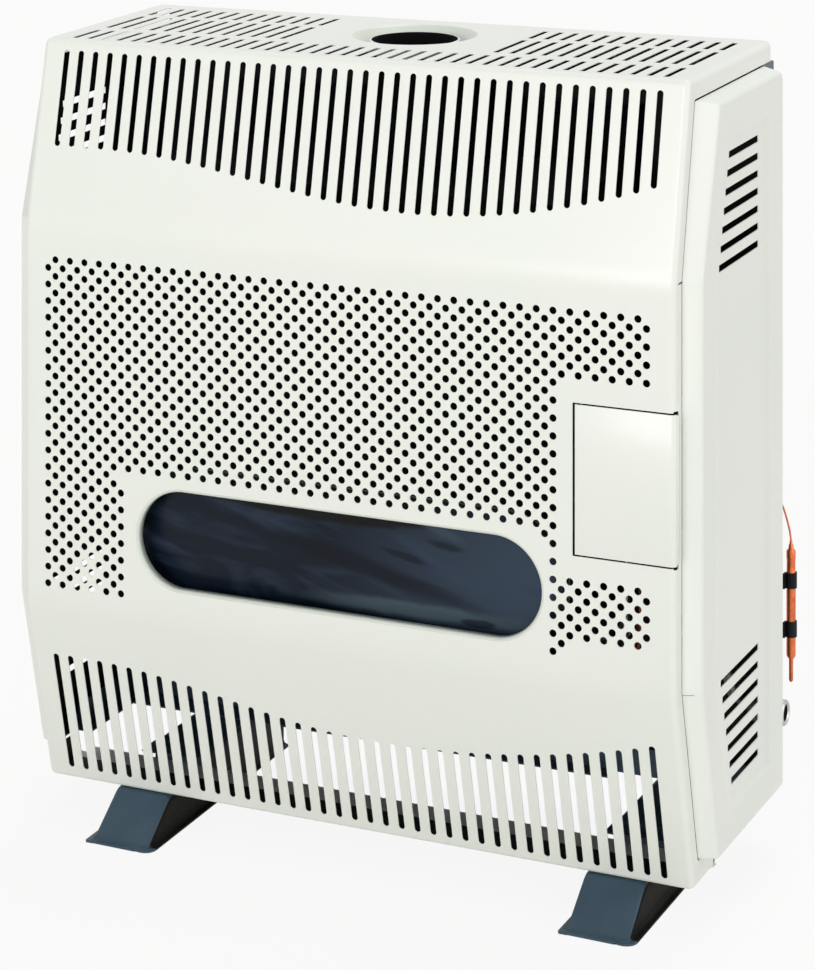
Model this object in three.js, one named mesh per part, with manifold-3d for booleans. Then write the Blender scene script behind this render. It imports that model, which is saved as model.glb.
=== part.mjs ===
// A flued gas room heater on two pressed feet: an enamelled sheet casing with louvres, a flame window and a
// control door, round a sheet steel combustion chamber, its burner, its gas controls and its flue outlet.
// Millimetres, +Z up, the front faces -Y. The working frame has x = 0 in the middle of the front, y = 0 on
// the plane of the window and z = 0 on the floor. The last lines move it to the middle of the footprint.

import * as THREE from "three";
import { mergeVertices } from "three/addons/utils/BufferGeometryUtils.js";
import Module from "manifold-3d";

const wasm = await Module();
wasm.setup();

// ---- Driving dimensions ----

const sheet = 1.2; // casing sheet
const gap = 0.3; // between pieces that touch
const pitch = 8; // half of the louvre pitch: the casing's punching grid

const casing = {
  halfWidth: 331,
  top: 760,
  bottom: 37,
  upperBend: 586, // above this height the front leans back
  lowerBend: 224, // below this height it leans back the other way
  upperLean: 0.225, // mm back per mm up
  lowerLean: 0.264, // mm back per mm down
  edgeRadius: 6,
  sideLip: 16,
  topLip: 19,
  rear: 271, // rear edge of the top plate
  bottomLip: 60, // height of the lip above the bottom flange
  bottomLipEnd: 102,
  bottomFlangeEnd: 126,
};

const panel = {
  outer: 348.5,
  bottom: 62,
  topInner: 740.7,
  topOuter: 735,
  rear: 256,
  facet: 7, // how far the front bevel runs back at mid height
  upperLean: 0.32,
  lowerLean: 0.264,
};

const louvre = {
  width: 6,
  columns: 39,
  frontTop: 750,
  frontBottom: 46,
  topRows: [
    { from: 50.5, to: 102, columns: [[0, 76]] },
    { from: 117, to: 194, columns: [[0, 24], [52, 76]] },
    { from: 204, to: 250, columns: [[0, 24], [52, 76]] },
  ],
  side: {
    count: 7,
    pitch: 16.2,
    height: 6.5,
    rear: 187,
    // Height of the first louvre, where it starts, and how far the next ones start behind it per mm up.
    upper: { first: 586.5, front: 74, lean: 0.275 },
    lower: { first: 116.5, front: 108.5, lean: -0.306 },
  },
};

// The flame window: the opening in the casing, and behind it a flat ring, the pane and its cord.
const flame = {
  x: 0,
  z: 300,
  opening: [409, 92],
  rimDepth: 8,
  ring: { outer: [446, 124], inner: [436, 114], from: 22.5, to: 24.7 },
  glass: { outer: [440, 120], from: 25, to: 29 },
  gasket: { outer: [442, 122], inner: [426, 106], from: 29.3, to: 33.7 },
  chamberOpening: [424, 104],
};

const door = { left: 236.4, bottom: 338, top: 473.5, wrap: 5, hingeX: 241, hingeY: 6, pin: 1.25, gap: 1.8 };
const flue = { x: 0, y: 185, outer: 44.5, inner: 41, foot: 705, rim: 756, dish: 61, dishDepth: 14 };
const rearFrame = { bottom: 62, top: 740, front: 250, rear: 284, flange: 20, upstand: 262 };
const rail = { fronts: [204.5, 219], legEnd: 189, rear: 239, wall: 26, sheet: 1.5, sill: 61, sillLeg: 15 };
const chamber = { left: -236, right: 206, front: 34, rear: 236, bottom: 212, top: 640, sheet: 1.5 };
const shield = { left: -230, right: 200, front: 262, bottom: 190, top: 690, sheet: 1.2 };
const bracket = { sheet: 3, heights: [225, 560], arm: 50, front: 180 };
const burner = { y: 120, z: 238, radius: 14, left: -205, right: 232 };
const pilot = { y: 86, foot: 197.8, shelf: 196, sheet: 1.5, burnerX: 140, coupleX: 156, sparkX: 172 };
const knob = { x: 284, z: 428, radius: 23, front: 14, rear: 34, stem: 3 };
const igniter = { x: 284, z: 372, button: 7, barrel: 10, bore: 4.6, rear: 92 };
const controlPlate = { front: 40, rear: 41.5 };
const valve = { front: 52, rear: 112, under: 42, over: 30, half: 30, outletX: 19, outletY: 96, outlet: 54 };
const inlet = { y: 270, z: 124, radius: 12, bore: 7.8, start: 316, end: 347, pipe: 7 };
const bulb = { x: 344.5, y: 292.5, radius: 4.4, top: 271, bottom: 169, tip: 146, clips: [243.5, 197] };
const capillary = { holeX: 316, holeZ: 327, radius: 0.9 };

const foot = {
  lefts: [-262, 221],
  width: 72,
  rim: 6.5, // how far the flared rim reaches out from the walls
  toe: -3,
  rear: 297,
  slope: 46, // length of the leaning front
  low: 36.7, // deck under the casing's flange
  high: 54.5, // deck under the rail
  step: 127,
  hook: 100, // front edge of the lip that reaches over the casing's flange
  sheet: 2,
};

// ---- Materials ----

const paint = (color, roughness, metalness = 0) =>
  new THREE.MeshStandardMaterial({ color, roughness, metalness });
const materials = {
  enamel: paint(0xeeeee2, 0.35),
  sidePaint: paint(0xdddfda, 0.4),
  slateEnamel: paint(0x40525f, 0.2),
  blackPaint: paint(0x17181a, 0.6),
  steel: paint(0x9a9d9f, 0.35, 1),
  aluminium: paint(0xc3c7c9, 0.3, 1),
  brass: paint(0xb99a52, 0.3, 1),
  copper: paint(0xb05834, 0.3, 1),
  glass: paint(0x262e3e, 0.05),
  fibre: paint(0xd8d5c8, 0.9),
  ceramic: paint(0xf0ece2, 0.3),
  blackPlastic: paint(0x141822, 0.45),
  redPlastic: paint(0xa33127, 0.4),
};

// ---- Solids ----

function solid(geometry) {
  const bare = geometry.index ? geometry.toNonIndexed() : geometry.clone();
  bare.deleteAttribute("normal");
  bare.deleteAttribute("uv");
  const merged = mergeVertices(bare, 1e-4);
  const mesh = new wasm.Mesh({
    numProp: 3,
    vertProperties: merged.attributes.position.array,
    triVerts: new Uint32Array(merged.index.array),
  });
  return new wasm.Manifold(mesh);
}

const joined = (...solids) => solids.reduce((a, b) => a.add(b));
const outlineOf = (points) => new THREE.Shape(points.map(([a, b]) => new THREE.Vector2(a, b)));

function extruded(points, length, edgeRadius = 0) {
  const settings = {
    depth: length - 2 * edgeRadius,
    steps: 1,
    curveSegments: 1,
    bevelEnabled: edgeRadius > 0,
    bevelThickness: edgeRadius,
    bevelSize: edgeRadius,
    bevelOffset: -edgeRadius,
    bevelSegments: 3,
  };
  return new THREE.ExtrudeGeometry(outlineOf(points), settings).translate(0, 0, edgeRadius);
}

// An outline of [y, z] points carried along X.
function prismX(points, from, to, edgeRadius = 0) {
  const turn = new THREE.Matrix4().set(0, 0, 1, from, 1, 0, 0, 0, 0, 1, 0, 0, 0, 0, 0, 1);
  return solid(extruded(points, to - from, edgeRadius).applyMatrix4(turn));
}

// An outline of [x, z] points carried along Y.
function prismY(points, from, to) {
  const turn = new THREE.Matrix4().set(1, 0, 0, 0, 0, 0, -1, to, 0, 1, 0, 0, 0, 0, 0, 1);
  return solid(extruded(points, to - from).applyMatrix4(turn));
}

// An outline of [x, y] points carried along Z.
function prismZ(points, from, to) {
  return solid(extruded(points, to - from).translate(0, 0, from));
}

function box(x0, x1, y0, y1, z0, z1) {
  const size = new THREE.BoxGeometry(x1 - x0, y1 - y0, z1 - z0);
  return solid(size.translate((x0 + x1) / 2, (y0 + y1) / 2, (z0 + z1) / 2));
}

// A turned piece: [radius, height] points round an axis through a point.
function turned(profile, at, axis = "z", segments = 20) {
  const round = new THREE.LatheGeometry(profile.map(([r, h]) => new THREE.Vector2(r, h)), segments);
  if (axis === "z") round.rotateX(Math.PI / 2);
  if (axis === "x") round.rotateZ(-Math.PI / 2);
  return solid(round.translate(...at));
}

const rod = (radius, from, to, at, axis = "z", segments = 16) =>
  turned([[0, from], [radius, from], [radius, to], [0, to]], at, axis, segments);

const tube = (outer, inner, from, to, at, axis = "z", segments = 24) =>
  turned([[inner, from], [outer, from], [outer, to], [inner, to], [inner, from]], at, axis, segments);

// A pipe or lead along points, with its corners rounded off.
function pipe(points, radius, bend, sides = 8) {
  const corners = points.map((p) => new THREE.Vector3(...p));
  const path = new THREE.CurvePath();
  let start = corners[0];
  for (let i = 1; i < corners.length - 1; i++) {
    const corner = corners[i];
    const back = corners[i - 1].clone().sub(corner);
    const ahead = corners[i + 1].clone().sub(corner);
    const cut = Math.min(bend, back.length() * 0.45, ahead.length() * 0.45);
    const into = corner.clone().add(back.setLength(cut));
    const out = corner.clone().add(ahead.setLength(cut));
    path.add(new THREE.LineCurve3(start, into));
    path.add(new THREE.QuadraticBezierCurve3(into, corner, out));
    start = out;
  }
  path.add(new THREE.LineCurve3(start, corners.at(-1)));
  const section = new THREE.Shape();
  section.absarc(0, 0, radius, 0, 2 * Math.PI);
  const steps = Math.min(60, Math.max(6, Math.round(path.getLength() / (radius * 5))));
  const settings = { steps, extrudePath: path, bevelEnabled: false, curveSegments: sides };
  return solid(new THREE.ExtrudeGeometry(section, settings));
}

// A long hole with round ends, as points.
function obround(x, z, width, height, perEnd = 8) {
  const r = Math.min(width, height) / 2;
  const along = Math.max(width, height) / 2 - r;
  const flat = width > height;
  return Array.from({ length: 2 * perEnd }, (_, i) => {
    const end = i < perEnd ? 1 : -1;
    const turn = (Math.PI * (i % perEnd)) / (perEnd - 1) + (end > 0 ? -Math.PI / 2 : Math.PI / 2);
    const [u, v] = [end * along + r * Math.cos(turn), r * Math.sin(turn)];
    return flat ? [x + u, z + v] : [x - v, z + u];
  });
}

// ---- The casing's shared lines ----

// How far back the front face stands at a height, with a flat middle and two leaning ends.
function frontY(z, lean = casing) {
  if (z > casing.upperBend) return (z - casing.upperBend) * lean.upperLean;
  if (z < casing.lowerBend) return (casing.lowerBend - z) * lean.lowerLean;
  return 0;
}

const columnX = (i) => pitch * (i - (louvre.columns - 1));

// Where the louvres end towards the middle of the front: level at the left, then half a cosine down to the
// lowest column, then a parabola up again.
const upperWave = { level: 660, levelTo: 6, lowest: 626, lowestAt: 47, rise: 0.0475 };
const lowerWave = { level: 169, levelTo: 4, lowest: 132.5, lowestAt: 42, rise: 0.036 };

function louvreEnd(wave, i) {
  const { level, levelTo, lowest, lowestAt, rise } = wave;
  if (i <= levelTo) return level;
  if (i > lowestAt) return lowest + rise * (i - lowestAt) ** 2;
  const swing = Math.cos((Math.PI * (i - levelTo)) / (lowestAt - levelTo));
  return (level + lowest) / 2 + ((level - lowest) / 2) * swing;
}

const evenColumns = (from, to) => Array.from({ length: (to - from) / 2 + 1 }, (_, k) => from + 2 * k);

// ---- Casing ----

const casingProfile = (inset, rear) => [
  [rear, casing.top - inset],
  [frontY(casing.top) + inset, casing.top - inset],
  [inset, casing.upperBend],
  [inset, casing.lowerBend],
  [frontY(casing.bottom) + inset, casing.bottom + inset],
  [rear, casing.bottom + inset],
].reverse();

// The folded sheet without its openings: a shell, less everything behind its lips.
function coverSheet() {
  const deep = 330; // well behind every rear edge
  const wide = 400;
  const { halfWidth, edgeRadius, sideLip, topLip, top, bottom, bottomLip, bottomLipEnd } = casing;
  const innerHalf = halfWidth - sheet;
  const outer = prismX(casingProfile(0, deep), -halfWidth, halfWidth, edgeRadius);
  const inner = prismX(casingProfile(sheet, deep + 20), -innerHalf, innerHalf, edgeRadius - sheet);
  const behindLips = [
    [frontY(top - topLip) + sideLip, top - topLip],
    [sideLip, casing.upperBend],
    [sideLip, casing.lowerBend],
    [frontY(bottomLip) + sideLip, bottomLip],
    [bottomLipEnd - 6, bottomLip],
    [bottomLipEnd, bottomLip - 6],
    [bottomLipEnd, bottom + sheet],
    [deep, bottom + sheet],
    [deep, top - topLip],
  ].reverse();
  return outer
    .subtract(inner)
    .subtract(prismX(behindLips, -wide, wide))
    .subtract(box(-wide, wide, casing.rear, deep + 30, 0, 800))
    .subtract(box(-wide, wide, casing.bottomFlangeEnd, deep + 30, 0, bottomLip));
}

function frontLouvres() {
  const { width, frontTop, frontBottom } = louvre;
  return evenColumns(0, 76).flatMap((i) => {
    const upper = louvreEnd(upperWave, i);
    const lower = louvreEnd(lowerWave, i);
    return [
      prismY(obround(columnX(i), (frontTop + upper) / 2, width, frontTop - upper, 3), -5, 52),
      prismY(obround(columnX(i), (frontBottom + lower) / 2, width, lower - frontBottom, 3), -5, 62),
    ];
  });
}

function topLouvres() {
  const half = louvre.width / 2;
  return louvre.topRows.flatMap(({ from, to, columns }) =>
    columns.flatMap(([first, last]) =>
      evenColumns(first, last).map((i) => {
        const x = columnX(i);
        return box(x - half, x + half, from, to, casing.top - 6, casing.top + 5);
      }),
    ),
  );
}

function frontCover() {
  let cover = coverSheet();
  for (const cut of [...frontLouvres(), ...topLouvres()]) cover = cover.subtract(cut);

  // The flame window's opening with its rolled-in rim.
  const [width, height] = flame.opening;
  const rim = obround(flame.x, flame.z, width + 2 * sheet, height + 2 * sheet, 10);
  const opening = obround(flame.x, flame.z, width, height, 10);
  cover = cover.add(prismY(rim, 0.2, flame.rimDepth)).subtract(prismY(opening, -5, 20));

  // The deep dish round the flue, one sheet thick.
  const { dish, dishDepth, inner: bore } = flue;
  const flueFoot = [flue.x, flue.y, 0];
  const level = casing.top;
  const floor = level - dishDepth;
  const under = [[bore + 7.5, floor - sheet], [bore + 10.5, floor], [dish + 0.7, level - 0.6]];
  const over = [[bore + 7, floor], [bore + 10, floor + sheet], [dish, level + 0.4], [dish, level + 9]];
  const body = turned([[0, floor - sheet], ...under, [0, level - 0.6]], flueFoot, "z", 32);
  const hollow = turned([[0, floor], ...over, [0, level + 9]], flueFoot, "z", 32);
  cover = cover.add(body).subtract(hollow);
  cover = cover.subtract(rod(bore + 5, level - 20, level + 5, flueFoot, "z", 32));

  // The control door's opening runs round the corner, with relief notches and two hinge tabs behind.
  const beyond = casing.halfWidth + 9;
  const { left, bottom, top, wrap, gap: doorGap, hingeX, hingeY, pin } = door;
  cover = cover.subtract(box(left - doorGap, beyond, -5, wrap + doorGap, bottom - 0.5, top + 0.5));
  for (const z of [bottom - 2.5, top - 0.5])
    cover = cover.subtract(box(casing.halfWidth - 5, beyond, -5, wrap + 2, z, z + 3));
  for (const z of [bottom - 6, top + 4]) {
    const tab = box(hingeX - 4, hingeX + 4, 0.6, hingeY + 4, z, z + 2);
    const hole = rod(pin + 0.05, z - 3, z + 5, [hingeX, hingeY, 0], "z", 12);
    cover = cover.add(tab).subtract(hole);
  }
  return cover;
}

// A side panel is a pan with bevelled front and top, louvred, and open towards the casing.
function sidePanel(side) {
  const inner = casing.halfWidth + gap;
  const lineUp = (lip, lean, top, bottom, rear) => [
    [rear, top],
    [frontY(top, lean) + lip, top],
    [lip, casing.upperBend],
    [lip, casing.lowerBend],
    [frontY(bottom, lean) + lip, bottom],
    [rear, bottom],
  ];
  const base = lineUp(casing.sideLip + gap, casing, panel.topInner, panel.bottom, panel.rear);
  const face = lineUp(casing.sideLip + gap + panel.facet, panel, panel.topOuter, panel.bottom, panel.rear);
  const { outer } = panel;
  const hollow = loftX(shrink(base, sheet), inner - 1, shrink(face, sheet), outer - sheet);
  let part = loftX(base, inner, face, outer).subtract(hollow);
  const { count, pitch: step, height, rear } = louvre.side;
  for (const { first, front, lean } of [louvre.side.upper, louvre.side.lower])
    for (let k = 0; k < count; k++) {
      const z = first + k * step;
      const start = front + lean * k * step;
      part = part.subtract(box(outer - 3, outer + 3, start, rear, z - height / 2, z + height / 2));
    }
  return side > 0 ? part : part.mirror([1, 0, 0]);
}

// Two outlines of [y, z] points with equal counts, one at each end along X, joined by flat faces.
function loftX(near, nearX, far, farX) {
  const flat = near.map(([a, b]) => new THREE.Vector2(a, b));
  const at = (points, x, i) => [x, points[i % points.length][0], points[i % points.length][1]];
  const triangles = [];
  for (const cap of THREE.ShapeUtils.triangulateShape(flat, [])) {
    const area = THREE.ShapeUtils.area(cap.map((i) => flat[i]));
    const [a, b, c] = area > 0 ? cap : [...cap].reverse();
    triangles.push(at(near, nearX, a), at(near, nearX, c), at(near, nearX, b));
    triangles.push(at(far, farX, a), at(far, farX, b), at(far, farX, c));
  }
  for (let i = 0; i < near.length; i++) {
    triangles.push(at(near, nearX, i), at(near, nearX, i + 1), at(far, farX, i + 1));
    triangles.push(at(near, nearX, i), at(far, farX, i + 1), at(far, farX, i));
  }
  const geometry = new THREE.BufferGeometry();
  geometry.setAttribute("position", new THREE.Float32BufferAttribute(triangles.flat(), 3));
  return solid(geometry);
}

// A convex-cornered outline moved inwards by an even distance. It runs anticlockwise.
function shrink(points, distance) {
  const count = points.length;
  return points.map(([y, z], i) => {
    const [py, pz] = points[(i + count - 1) % count];
    const [ny, nz] = points[(i + 1) % count];
    const inLength = Math.hypot(y - py, z - pz);
    const outLength = Math.hypot(ny - y, nz - z);
    const a = [-(z - pz) / inLength, (y - py) / inLength];
    const b = [-(nz - z) / outLength, (ny - y) / outLength];
    const scale = distance / (1 + a[0] * b[0] + a[1] * b[1]);
    return [y + (a[0] + b[0]) * scale, z + (a[1] + b[1]) * scale];
  });
}

function rearFrameShell() {
  const { bottom, top, front, rear, flange, upstand } = rearFrame;
  const w = casing.halfWidth;
  let frame = box(-w, w, front, rear, bottom, top);
  frame = frame.subtract(box(-w + sheet, w - sheet, front - 5, rear - sheet, bottom + sheet, top - sheet));
  const airSlot = box(-w + flange, w - flange, front - 5, rear - 14, bottom - 5, bottom + 5);
  const underTop = casing.top - sheet - gap;
  const louvreBack = box(-w + flange, w - flange, upstand, upstand + sheet, top - sheet, underTop);
  frame = frame.subtract(airSlot).add(louvreBack);
  frame = frame.subtract(rod(inlet.radius + 0.6, w - 10, w + 5, [0, inlet.y, inlet.z], "x", 20));
  for (const z of bulb.clips) frame = frame.subtract(rod(2, -10, 10, [w - 10, rear, z], "y", 8));
  return frame.subtract(rod(3.2, -10, 10, [capillary.holeX, rear, capillary.holeZ], "y", 12));
}

// A foot is pressed from one sheet: a leaning toe, a low deck under the casing's flange and a high deck
// behind, with a rim that stands on the floor all round.
function pressedFoot(left) {
  const { width, rim, toe, rear, slope, low, high, step, hook, sheet: t } = foot;
  const hull = (inset, back, drop) => [
    [toe + rim + inset, drop],
    [toe + rim + 3.5 + inset, drop < 0 ? 2 : 4],
    [toe + rim + slope + inset, low - inset],
    [step + inset, low - inset],
    [step + 2 + inset, high - inset],
    [back, high - inset],
    [back, drop],
  ].reverse();
  const body = prismX(hull(0, rear, 0), left + rim, left + width - rim);
  const hollow = prismX(hull(t, rear + 5, -2), left + rim + t, left + width - rim - t);
  const skirt = rectangleWithRoundFront(left, left + width, toe, rear, 8);
  const lip = box(left + rim, left + width - rim, hook, step + 5, high - t, high);
  return joined(body, prismZ(skirt, 0, 1.6)).subtract(hollow).add(lip);
}

function rectangleWithRoundFront(x0, x1, y0, y1, r) {
  const arc = (cx, from) => Array.from({ length: 5 }, (_, k) => {
    const a = from + (Math.PI / 2) * (k / 4);
    return [cx + r * Math.cos(a), y0 + r + r * Math.sin(a)];
  });
  return [...arc(x0 + r, Math.PI), ...arc(x1 - r, 1.5 * Math.PI), [x1, y1], [x0, y1]];
}

// A U of angle that stands on the feet's high decks and carries the casing's lower edges: a rail across,
// whose leg tapers and is cut short at the control side, and a sill along each side.
function baseFrame() {
  const { fronts, legEnd, rear, wall, sheet: t, sill, sillLeg: across } = rail;
  const w = casing.halfWidth - gap - sheet;
  const z = foot.high + gap;
  const sillFront = casing.bottomLipEnd + 1;
  const sillRear = rearFrame.front - gap;
  const leg = prismZ([[-w, fronts[0]], [legEnd, fronts[1]], [legEnd, rear], [-w, rear]], z, z + t);
  const upright = box(-w, w, rear - t, rear, z, z + wall);
  const sillLeg = box(w - across, w, sillFront, sillRear, sill, sill + t);
  const sillRight = joined(sillLeg, box(w - t, w, sillFront, sillRear, sill, sill + wall));
  return joined(leg, upright, sillRight, sillRight.mirror([1, 0, 0]));
}

// ---- Heat exchanger, window and flue ----

function combustionChamber() {
  const { left, right, front, rear, bottom, top, sheet: t } = chamber;
  let body = box(left, right, front, rear, bottom, top);
  body = body.subtract(box(left + t, right - t, front + t, rear - t, bottom + t, top - t));
  const opening = obround(flame.x, flame.z, ...flame.chamberOpening, 8);
  body = body.subtract(prismY(opening, front - 5, front + 5));
  body = body.subtract(box(-190, 186, 76, 164, bottom - 5, bottom + 5));
  body = body.subtract(box(-50, 50, 150, 220, top - 5, top + 5));
  body = body.subtract(rod(burner.radius + 2, right - 8, right + 8, [0, burner.y, burner.z], "x", 16));
  for (const x of [-190, -110, -30, 50, 130]) {
    const rib = box(x, x + 14, front - 3, front + 0.5, 400, 600);
    body = body.add(rib);
  }
  return body;
}

// A pane or, with an inner size, a ring, both with round ends.
function windowPiece({ outer, inner, from, to }) {
  const whole = prismY(obround(flame.x, flame.z, ...outer, 8), from, to);
  if (!inner) return whole;
  return whole.subtract(prismY(obround(flame.x, flame.z, ...inner, 8), from - 5, to + 5));
}

function draughtDiverter() {
  const z0 = chamber.top + gap;
  const z1 = flue.foot;
  const outer = box(-60, 60, 136, 234, z0, z1);
  const inside = box(-58.5, 58.5, 137.5, 232.5, z0 - 5, z1 - 1.5);
  const relief = box(-48, 48, 225, 240, z0 - 5, z0 + 26);
  const outlet = rod(flue.inner, z1 - 5, z1 + 5, [flue.x, flue.y, 0], "z", 24);
  return outer.subtract(inside).subtract(relief).subtract(outlet);
}

function flueSpigot() {
  const at = [flue.x, flue.y, 0];
  const collar = tube(flue.outer, flue.inner, flue.foot + gap, flue.rim, at, "z", 32);
  return collar.add(tube(flue.outer + 8, flue.inner, flue.foot + gap, flue.foot + 2, at, "z", 32));
}

const shieldRear = rearFrame.rear - sheet - gap;

function heatShield() {
  const { left, right, front, bottom, top, sheet: t } = shield;
  return joined(
    box(left, right, front, front + t, bottom, top),
    box(left, left + t, front, shieldRear, bottom, top),
    box(right - t, right, front, shieldRear, bottom, top),
  );
}

// Two arms from the chamber to the back, joined by an upright strap.
function chamberBracket(x) {
  const { sheet: t, heights, arm, front } = bracket;
  const arms = heights.map((z) => box(x, x + t, front, shieldRear, z, z + arm));
  return joined(...arms, box(x, x + t, 240, 258, heights[0], heights[1] + arm));
}

// ---- Burner and pilot ----

function burnerTube() {
  const { y, z, radius, left, right } = burner;
  let body = tube(radius, radius - 1.2, left, right, [0, y, z], "x", 16);
  body = body.add(rod(radius, left - 1.5, left + 0.2, [0, y, z], "x", 16));
  for (let x = -180; x <= 150; x += 30) {
    const port = box(x, x + 18, y - 2, y + 2, z, z + radius + 3);
    body = body.subtract(port);
  }
  return body;
}

function burnerTray() {
  const z = chamber.bottom - gap;
  const tray = box(-204, 200, 68, 172, z - 1.5, z);
  const slots = joined(
    box(-160, 110, 82, 96, z - 5, z + 5),
    box(-160, 170, 144, 158, z - 5, z + 5),
    box(127, 185, 79, 94, z - 5, z + 5),
  );
  const saddles = [-150, 150].map((x) => box(x, x + 1.5, 108, 132, z - 1, burner.z - burner.radius - gap));
  return joined(tray.subtract(slots), ...saddles);
}

const injectorX = burner.right + 9;

function gasInjector() {
  const profile = [[0, -6], [3, -6], [3, 0], [7, 0], [7, 9], [5.5, 9], [5.5, 18], [0, 18]];
  return turned(profile, [injectorX, burner.y, burner.z], "x", 6);
}

function injectorBracket() {
  const [low, high] = [222, 252];
  const back = 137.5;
  const face = injectorX + 9.3;
  const plate = box(face, face + 1.5, 106, back, low, high);
  const hole = rod(6.2, 0, 20, [injectorX, burner.y, burner.z], "x", 16);
  const left = chamber.right + gap;
  return joined(
    plate.subtract(hole),
    box(left, face + 1.5, back - 1.5, back, low, high),
    box(left, left + 1.5, back - 1.5, 152, low, high),
  );
}

function pilotBracket() {
  const { shelf, sheet: t } = pilot;
  const [left, right] = [126, 186];
  const top = chamber.bottom - 2 * gap - t;
  return joined(
    box(left, right, 96, 112, top - t, top),
    box(left, right, 96, 97.5, shelf, top),
    box(left, right, 80, 97.5, shelf, shelf + t),
  );
}

// The pilot burner, the thermocouple and the electrode are turned pieces that taper once on their way up.
function pilotPiece(x, foot, tip, from, to, top) {
  const profile = [[0, pilot.foot], [foot, pilot.foot], [foot, from], [tip, to], [tip, top], [0, top]];
  return turned(profile, [x, pilot.y, 0], "z", 10);
}

const pilotBurner = () => pilotPiece(pilot.burnerX, 5, 3.5, 222, 226, 262);
const thermocouple = () => pilotPiece(pilot.coupleX, 3, 2, 240, 243, 272);
const sparkElectrode = () => pilotPiece(pilot.sparkX, 3.6, 1.2, 240, 242, 268);

// ---- Controls ----

function gasValve() {
  const { x, z } = knob;
  const { front, rear, under, over, half, outletX, outletY, outlet } = valve;
  const block = box(x - half, x + half, front, rear, z - under, z + over);
  const neck = tube(15.5, 5, controlPlate.rear + gap, front + 0.5, [x, 0, z], "y", 20);
  const outletBoss = rod(8, -outlet, 0.5 - under, [x + outletX, outletY, z], "z", 16);
  const inletBoss = rod(12, 0, 14, [x, rear - 0.5, z + 8], "y", 16);
  return joined(block, neck, outletBoss, inletBoss).subtract(rod(5, 36, 86, [x, 0, z], "y", 16));
}

function controlBracket() {
  const { front, rear } = controlPlate;
  const right = 322;
  const t = rear - front;
  const plate = joined(
    box(246, right, front, rear, 345, 466),
    box(right - t, right, front, shieldRear, 360, 452),
    box(308, right, shieldRear - t, shieldRear, 360, 452),
  ).subtract(rod(14, 30, 50, [knob.x, 0, knob.z], "y", 20));
  return plate.subtract(rod(igniter.barrel + 0.4, 30, 50, [igniter.x, 0, igniter.z], "y", 20));
}

function thermostatKnob() {
  const { x, z, radius, front, rear, stem } = knob;
  const at = [x, 0, z];
  const skirt = [[0, front], [radius - 2, front], [radius, front + 2], [radius, rear], [0, rear]];
  let body = turned(skirt, at, "y", 24);
  body = body.subtract(box(x - radius, x - 7, front - 1, front + 7, z - 30, z + 30));
  body = body.subtract(box(x + 7, x + radius, front - 1, front + 7, z - 30, z + 30));
  return body.subtract(rod(stem + 0.3, front + 9, rear + 5, at, "y", 12));
}

function piezoIgniter() {
  const at = [igniter.x, 0, igniter.z];
  const barrel = tube(igniter.barrel, igniter.bore, 34, 62, at, "y", 20);
  const back = rod(8, 61.5, igniter.rear, at, "y", 16);
  const flange = tube(igniter.barrel + 3.5, igniter.bore, 36.5, controlPlate.front - gap, at, "y", 20);
  return joined(barrel, back, flange);
}

function igniterButton() {
  const at = [igniter.x, 0, igniter.z];
  const r = igniter.button;
  return turned([[0, 19], [r - 1, 19], [r, 20], [r, 26], [4, 26], [4, 50], [0, 50]], at, "y", 20);
}

function controlDoor() {
  const r = casing.edgeRadius;
  const centre = casing.halfWidth - r;
  const cornerArc = (radius) => Array.from({ length: 5 }, (_, k) => {
    const turn = -Math.PI / 2 + (k / 4) * (Math.PI / 2 - 0.17);
    return [centre + radius * Math.cos(turn), r + radius * Math.sin(turn)];
  });
  const outline = [[door.left, 0], ...cornerArc(r), ...cornerArc(r - sheet).reverse(), [door.left, sheet]];
  let leaf = prismZ(outline, door.bottom, door.top);
  for (const level of [door.bottom + 4, door.top - 6]) {
    const ear = box(door.hingeX - 2.6, door.hingeX + 2.6, 0.6, door.hingeY + 2.6, level, level + 2);
    const hole = rod(door.pin + 0.25, level - 3, level + 5, [door.hingeX, door.hingeY, 0], "z", 12);
    leaf = leaf.add(ear).subtract(hole);
  }
  return leaf;
}

function doorMagnet() {
  const block = box(311, 324, sheet + gap, 9, 346, 359);
  return block.add(box(314, 321, 8, controlPlate.front - gap, 349, 356));
}

const hingePin = (from, to) => rod(door.pin - 0.05, from, to, [door.hingeX, door.hingeY, 0], "z", 12);

// ---- Gas inlet and thermostat bulb ----

function inletSocket() {
  const { bore, radius, start, end } = inlet;
  const neck = [[bore, start], [10, start], [10, start + 6]];
  const body = [[radius, start + 6], [radius, end], [bore, end], [bore, start]];
  return turned([...neck, ...body], [0, inlet.y, inlet.z], "x", 24);
}

function thermostatBulb() {
  const { x, y, radius, top, bottom, tip } = bulb;
  const profile = [
    [0, tip], [1.6, tip], [2.25, tip + 1.5], [2.25, bottom - 4], [radius, bottom],
    [radius, top], [2.4, top + 7], [1.4, top + 10], [0, top + 10],
  ];
  return turned(profile, [x, y, 0], "z", 16);
}

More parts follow.
